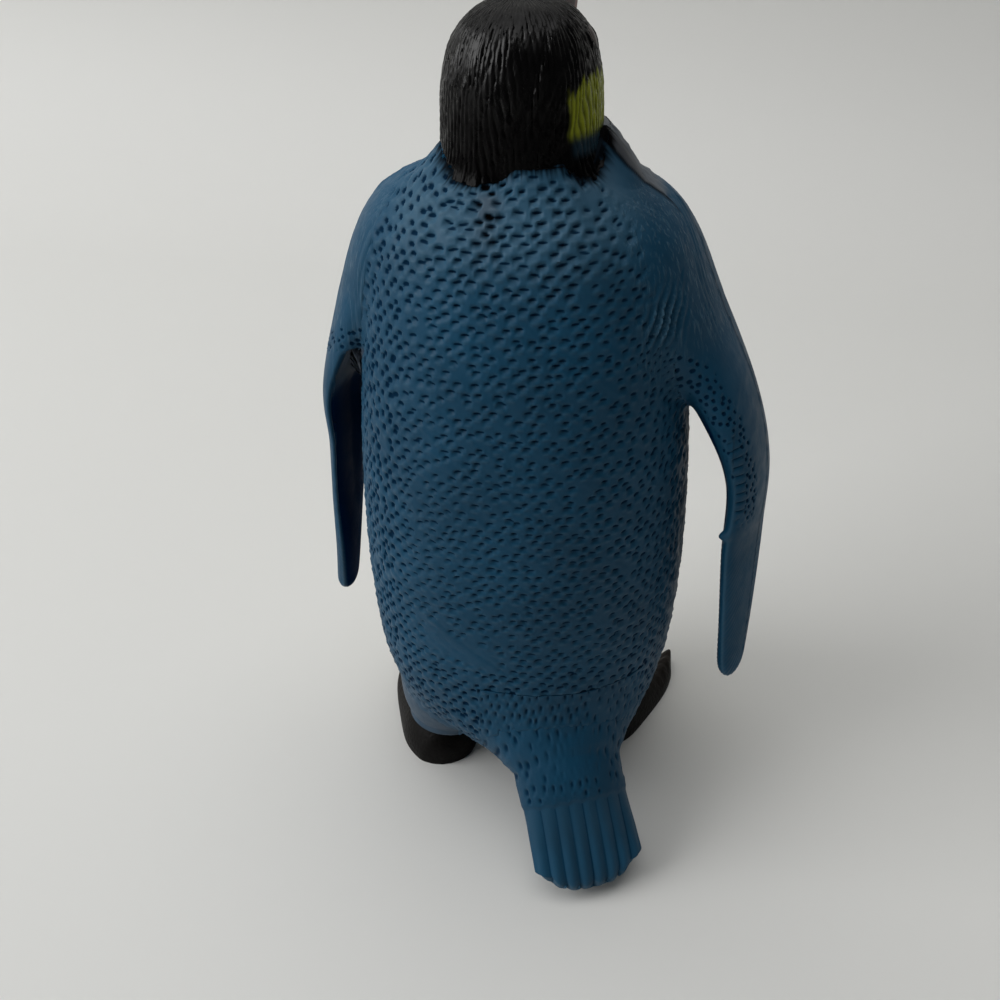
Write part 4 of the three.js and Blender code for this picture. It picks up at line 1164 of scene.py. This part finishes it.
haze = haze * ease(height, 128.8, 130.4) * fall(height, 131.2, 133.0)
head_marks = {
    # The strand ridges take the lighter black; the valleys between keep the darker one as painted shade.
    "strand": ridge**1.5 * (0.5 + 0.5 * hairs),
    "patch": patch * (0.3 + 0.7 * ridge**1.5),
    "haze": 0.7 * haze * (0.5 + 0.5 * ridge),
    "bare": bare,
    "eye": eye,
    "crown": ease(height, 133, 141) * (1 - 0.8 * ease(height, 145, 148)),
}
# Black paint over soft PVC: a thin satin film. Between the strands it is set darker than on the
# ridges as painted shade, so light seems to catch only the ridges. The patch is a dry spray that
# leaves the valleys dark.
HEAD_BLACK = "#060506"
HEAD_VALLEY_SHADE = "#010101"
PATCH_GREEN = "#8c9426"
HAZE_BLUE = "#243c4a"
EYE_BROWN = "#2a1613"
head_paint, tree = new_material("black_paint_on_pvc")
place = node(tree, "TexCoord", {}).outputs["Object"]
fine = node(tree, "TexNoise", {"Vector": place, "Scale": 1 / (FINE_MM * MM), "Detail": 2.0})
uneven = node(tree, "TexNoise", {"Vector": place, "Scale": 1 / (UNEVEN_MM * MM), "Detail": 3.0})
tone = linear(HEAD_VALLEY_SHADE)
for key, colour in (
    ("strand", HEAD_BLACK),
    ("haze", HAZE_BLUE),
    ("patch", PATCH_GREEN),
    ("eye", EYE_BROWN),
    ("bare", BLUE),
):
    amount = node(tree, "Attribute", {}, attribute_name=key).outputs["Fac"]
    tone = node(tree, "Mix", {0: amount, 6: tone, 7: linear(colour)}, data_type="RGBA").outputs[2]
gloss = node(
    tree,
    "MapRange",
    {"Value": uneven.outputs["Fac"], "From Min": 0.3, "From Max": 0.7, "To Min": 0.18, "To Max": 0.36},
)
crown = node(tree, "Attribute", {}, attribute_name="crown").outputs["Fac"]
rubbed_and_sheen = node(tree, "MapRange", {"Value": crown, "To Min": 0.06, "To Max": 0.26})
grain_bump = node(tree, "Bump", {"Height": fine.outputs["Fac"], "Strength": 0.12, "Distance": 0.0001})
shader = node(
    tree,
    "BsdfPrincipled",
    {
        "Base Color": tone,
        "Roughness": gloss.outputs[0],
        "IOR": PLASTIC_IOR,
        "Specular IOR Level": rubbed_and_sheen.outputs[0],
        "Normal": grain_bump.outputs[0],
    },
)
node(tree, "OutputMaterial", {"Surface": shader.outputs[0]})
skin_piece("head_skin", [(grid, head_marks)], head_paint, "head_shell")

# Bill: a slim horn-coloured cone moulded by itself and pegged into the face, raised and slightly
# hooked, with a dull pink stripe along the lower half and a groove between the halves.
BILL_ROOT = np.array([0, -10.0, 14.6])
BILL_PITCH = 46
BILL_LENGTH = 21
BILL_HOOK = 2.4
BILL_HALF = (3.9, 4.3)
BILL_MESH = (120, 72)
BILL_HORN = "#4a4140"
BILL_PINK = "#8f7672"


def bill_skin():
    """Oval rings along a line that rises from the face and droops with the square of its run. The
    size falls with the run to the power 0.8, and a groove runs along each side."""
    s, angle = rings(np.linspace(0, 1, BILL_MESH[0]), BILL_MESH[1])
    taper = 0.06 + 0.94 * (1 - s) ** 0.8
    pitch = math.radians(BILL_PITCH)
    aim = np.array([0, -math.cos(pitch), math.sin(pitch)])
    upward = np.array([0, math.sin(pitch), math.cos(pitch)])
    groove = 0.35 * bell(np.sin(angle) + 0.1, 0.16) * ease(s, 0.1, 0.2) * fall(s, 0.8, 1)
    middle = BILL_ROOT + aim * (s * BILL_LENGTH)[..., None] - upward * (BILL_HOOK * s * s)[..., None]
    grid = middle + upward * (BILL_HALF[1] * taper * np.sin(angle))[..., None]
    grid[..., 0] = (BILL_HALF[0] * taper - groove) * np.cos(angle)
    pink = fall(np.sin(angle), -0.15, 0.0) * fall(s, 0.75, 0.9)
    return turned(grid, HEAD_TURN) + [0, 0, RIM_HEIGHT], {"pink": pink}


# Soft PVC in horn brown with a pink stripe painted on: a smooth skin with an uneven satin gloss, so
# the light lies on it in one soft streak.
bill_pvc, tree = new_material("soft_pvc_horn")
place = node(tree, "TexCoord", {}).outputs["Object"]
fine = node(tree, "TexNoise", {"Vector": place, "Scale": 1 / (FINE_MM * MM), "Detail": 2.0})
uneven = node(tree, "TexNoise", {"Vector": place, "Scale": 1 / (UNEVEN_MM * MM), "Detail": 3.0})
pink = node(tree, "Attribute", {}, attribute_name="pink")
tone = node(
    tree, "Mix", {0: pink.outputs["Fac"], 6: linear(BILL_HORN), 7: linear(BILL_PINK)}, data_type="RGBA"
)
gloss = node(tree, "MapRange", {"Value": uneven.outputs["Fac"], "To Min": 0.4, "To Max": 0.6})
grain_bump = node(tree, "Bump", {"Height": fine.outputs["Fac"], "Strength": 0.15, "Distance": 0.0001})
shader = node(
    tree,
    "BsdfPrincipled",
    {
        "Base Color": tone.outputs[2],
        "Roughness": gloss.outputs[0],
        "IOR": PLASTIC_IOR,
        "Normal": grain_bump.outputs[0],
    },
)
node(tree, "OutputMaterial", {"Surface": shader.outputs[0]})
skin_piece("bill_skin", [bill_skin()], bill_pvc, "bill")

# Stage: a sheet of white paper that lies flat under the figure and curves up beyond it, lit by a large
# window at the figure's left and a weaker ceiling lamp, in a dim pale room.
SHEET = "#d9d9d6"
SHEET_SIDE = 1500
SHEET_NEAR = 900
SHEET_FAR = 260
SHEET_CURVE = 120
SHEET_RISE = 900
ROOM = "#e9eaec"
ROOM_STRENGTH = 0.06
s, x = np.meshgrid(np.linspace(0, 1, 80), np.linspace(-SHEET_SIDE, SHEET_SIDE, 3), indexing="ij")
flat_end, arc = 0.6, 0.25
bend = np.clip((s - flat_end) / arc, 0, 1) * math.pi / 2
flat_y = SHEET_NEAR - (SHEET_NEAR + SHEET_FAR) * s / flat_end
y = np.where(s < flat_end, flat_y, -SHEET_FAR - SHEET_CURVE * np.sin(bend))
z = np.clip((s - flat_end - arc) / (1 - flat_end - arc), 0, 1) * SHEET_RISE
z = SHEET_CURVE * (1 - np.cos(bend)) + z
sheet_points = np.stack([x, y, z], -1).reshape(-1, 3) * MM
number = np.arange(s.size).reshape(s.shape)
sheet_faces = np.stack([number[:-1, :-1], number[:-1, 1:], number[1:, 1:], number[1:, :-1]], -1)
sheet_mesh = bpy.data.meshes.new("backdrop_sheet")
sheet_mesh.from_pydata(sheet_points, [], sheet_faces.reshape(-1, 4).tolist())
sheet_mesh.shade_smooth()
# Matt white paper: an even pale ground that only takes the figure's soft shadow.
sheet_paper, tree = new_material("white_sheet")
shader = node(tree, "BsdfPrincipled", {"Base Color": linear(SHEET), "Roughness": 0.6})
node(tree, "OutputMaterial", {"Surface": shader.outputs[0]})
sheet_mesh.materials.append(sheet_paper)
backdrop = bpy.data.objects.new("backdrop_sheet", sheet_mesh)
bpy.context.scene.collection.objects.link(backdrop)

world = bpy.data.worlds.new("pale_room")
world.use_nodes = True
room = world.node_tree.nodes["Background"]
room.inputs["Color"].default_value = linear(ROOM)
room.inputs["Strength"].default_value = ROOM_STRENGTH
bpy.context.scene.world = world
LAMPS = {
    # place in millimetres, aim, size, watts
    "window_lamp": ((1050, 430, 740), (0, 0, 60), 900, 11.0),
    "ceiling_lamp": ((100, -60, 900), (0, 0, 60), 900, 4.6),
}
for name, (spot, aim, size, watts) in LAMPS.items():
    lamp = bpy.data.lights.new(name, "AREA")
    lamp.size = size * MM
    lamp.energy = watts
    holder = bpy.data.objects.new(name, lamp)
    way = np.array(aim, float) - np.array(spot, float)
    facing = Vector(way).to_track_quat("-Z", "Y").to_matrix().to_4x4()
    holder.matrix_world = Matrix.Translation(np.array(spot) * MM) @ facing
    bpy.context.scene.collection.objects.link(holder)

# Camera: held close above and behind the figure, a little to the bird's right, with a wide lens.
CAMERA_SIDE = 12
CAMERA_DOWN = 35
CAMERA_DISTANCE = 157.4
CAMERA_HEIGHT = 172.2
CAMERA_SHIFT = -5.0
CAMERA_ROLL = -1.44
SENSOR_MM = 36
LENS_MM = 36
turn, dip, roll = (math.radians(v) for v in (CAMERA_SIDE, CAMERA_DOWN, CAMERA_ROLL))
aft = np.array([-math.sin(turn), math.cos(turn), 0])
right = np.array([-math.cos(turn), -math.sin(turn), 0])
upright = np.array([0, 0, 1.0])
stand = aft * CAMERA_DISTANCE + upright * CAMERA_HEIGHT + right * CAMERA_SHIFT + AXIS
look = -aft * math.cos(dip) - upright * math.sin(dip)
top = -aft * math.sin(dip) + upright * math.cos(dip)
across = right * math.cos(roll) + top * math.sin(roll)
above = -right * math.sin(roll) + top * math.cos(roll)
lens = bpy.data.cameras.new("camera")
lens.sensor_width = SENSOR_MM
lens.lens = LENS_MM
lens.clip_start = 0.01
camera = bpy.data.objects.new("camera", lens)
axes = np.eye(4)
axes[:3, 0], axes[:3, 1], axes[:3, 2], axes[:3, 3] = across, above, -look, stand * MM
camera.matrix_world = Matrix(axes.tolist())
bpy.context.scene.collection.objects.link(camera)
bpy.context.scene.camera = camera
bpy.context.scene.view_settings.view_transform = "Standard"
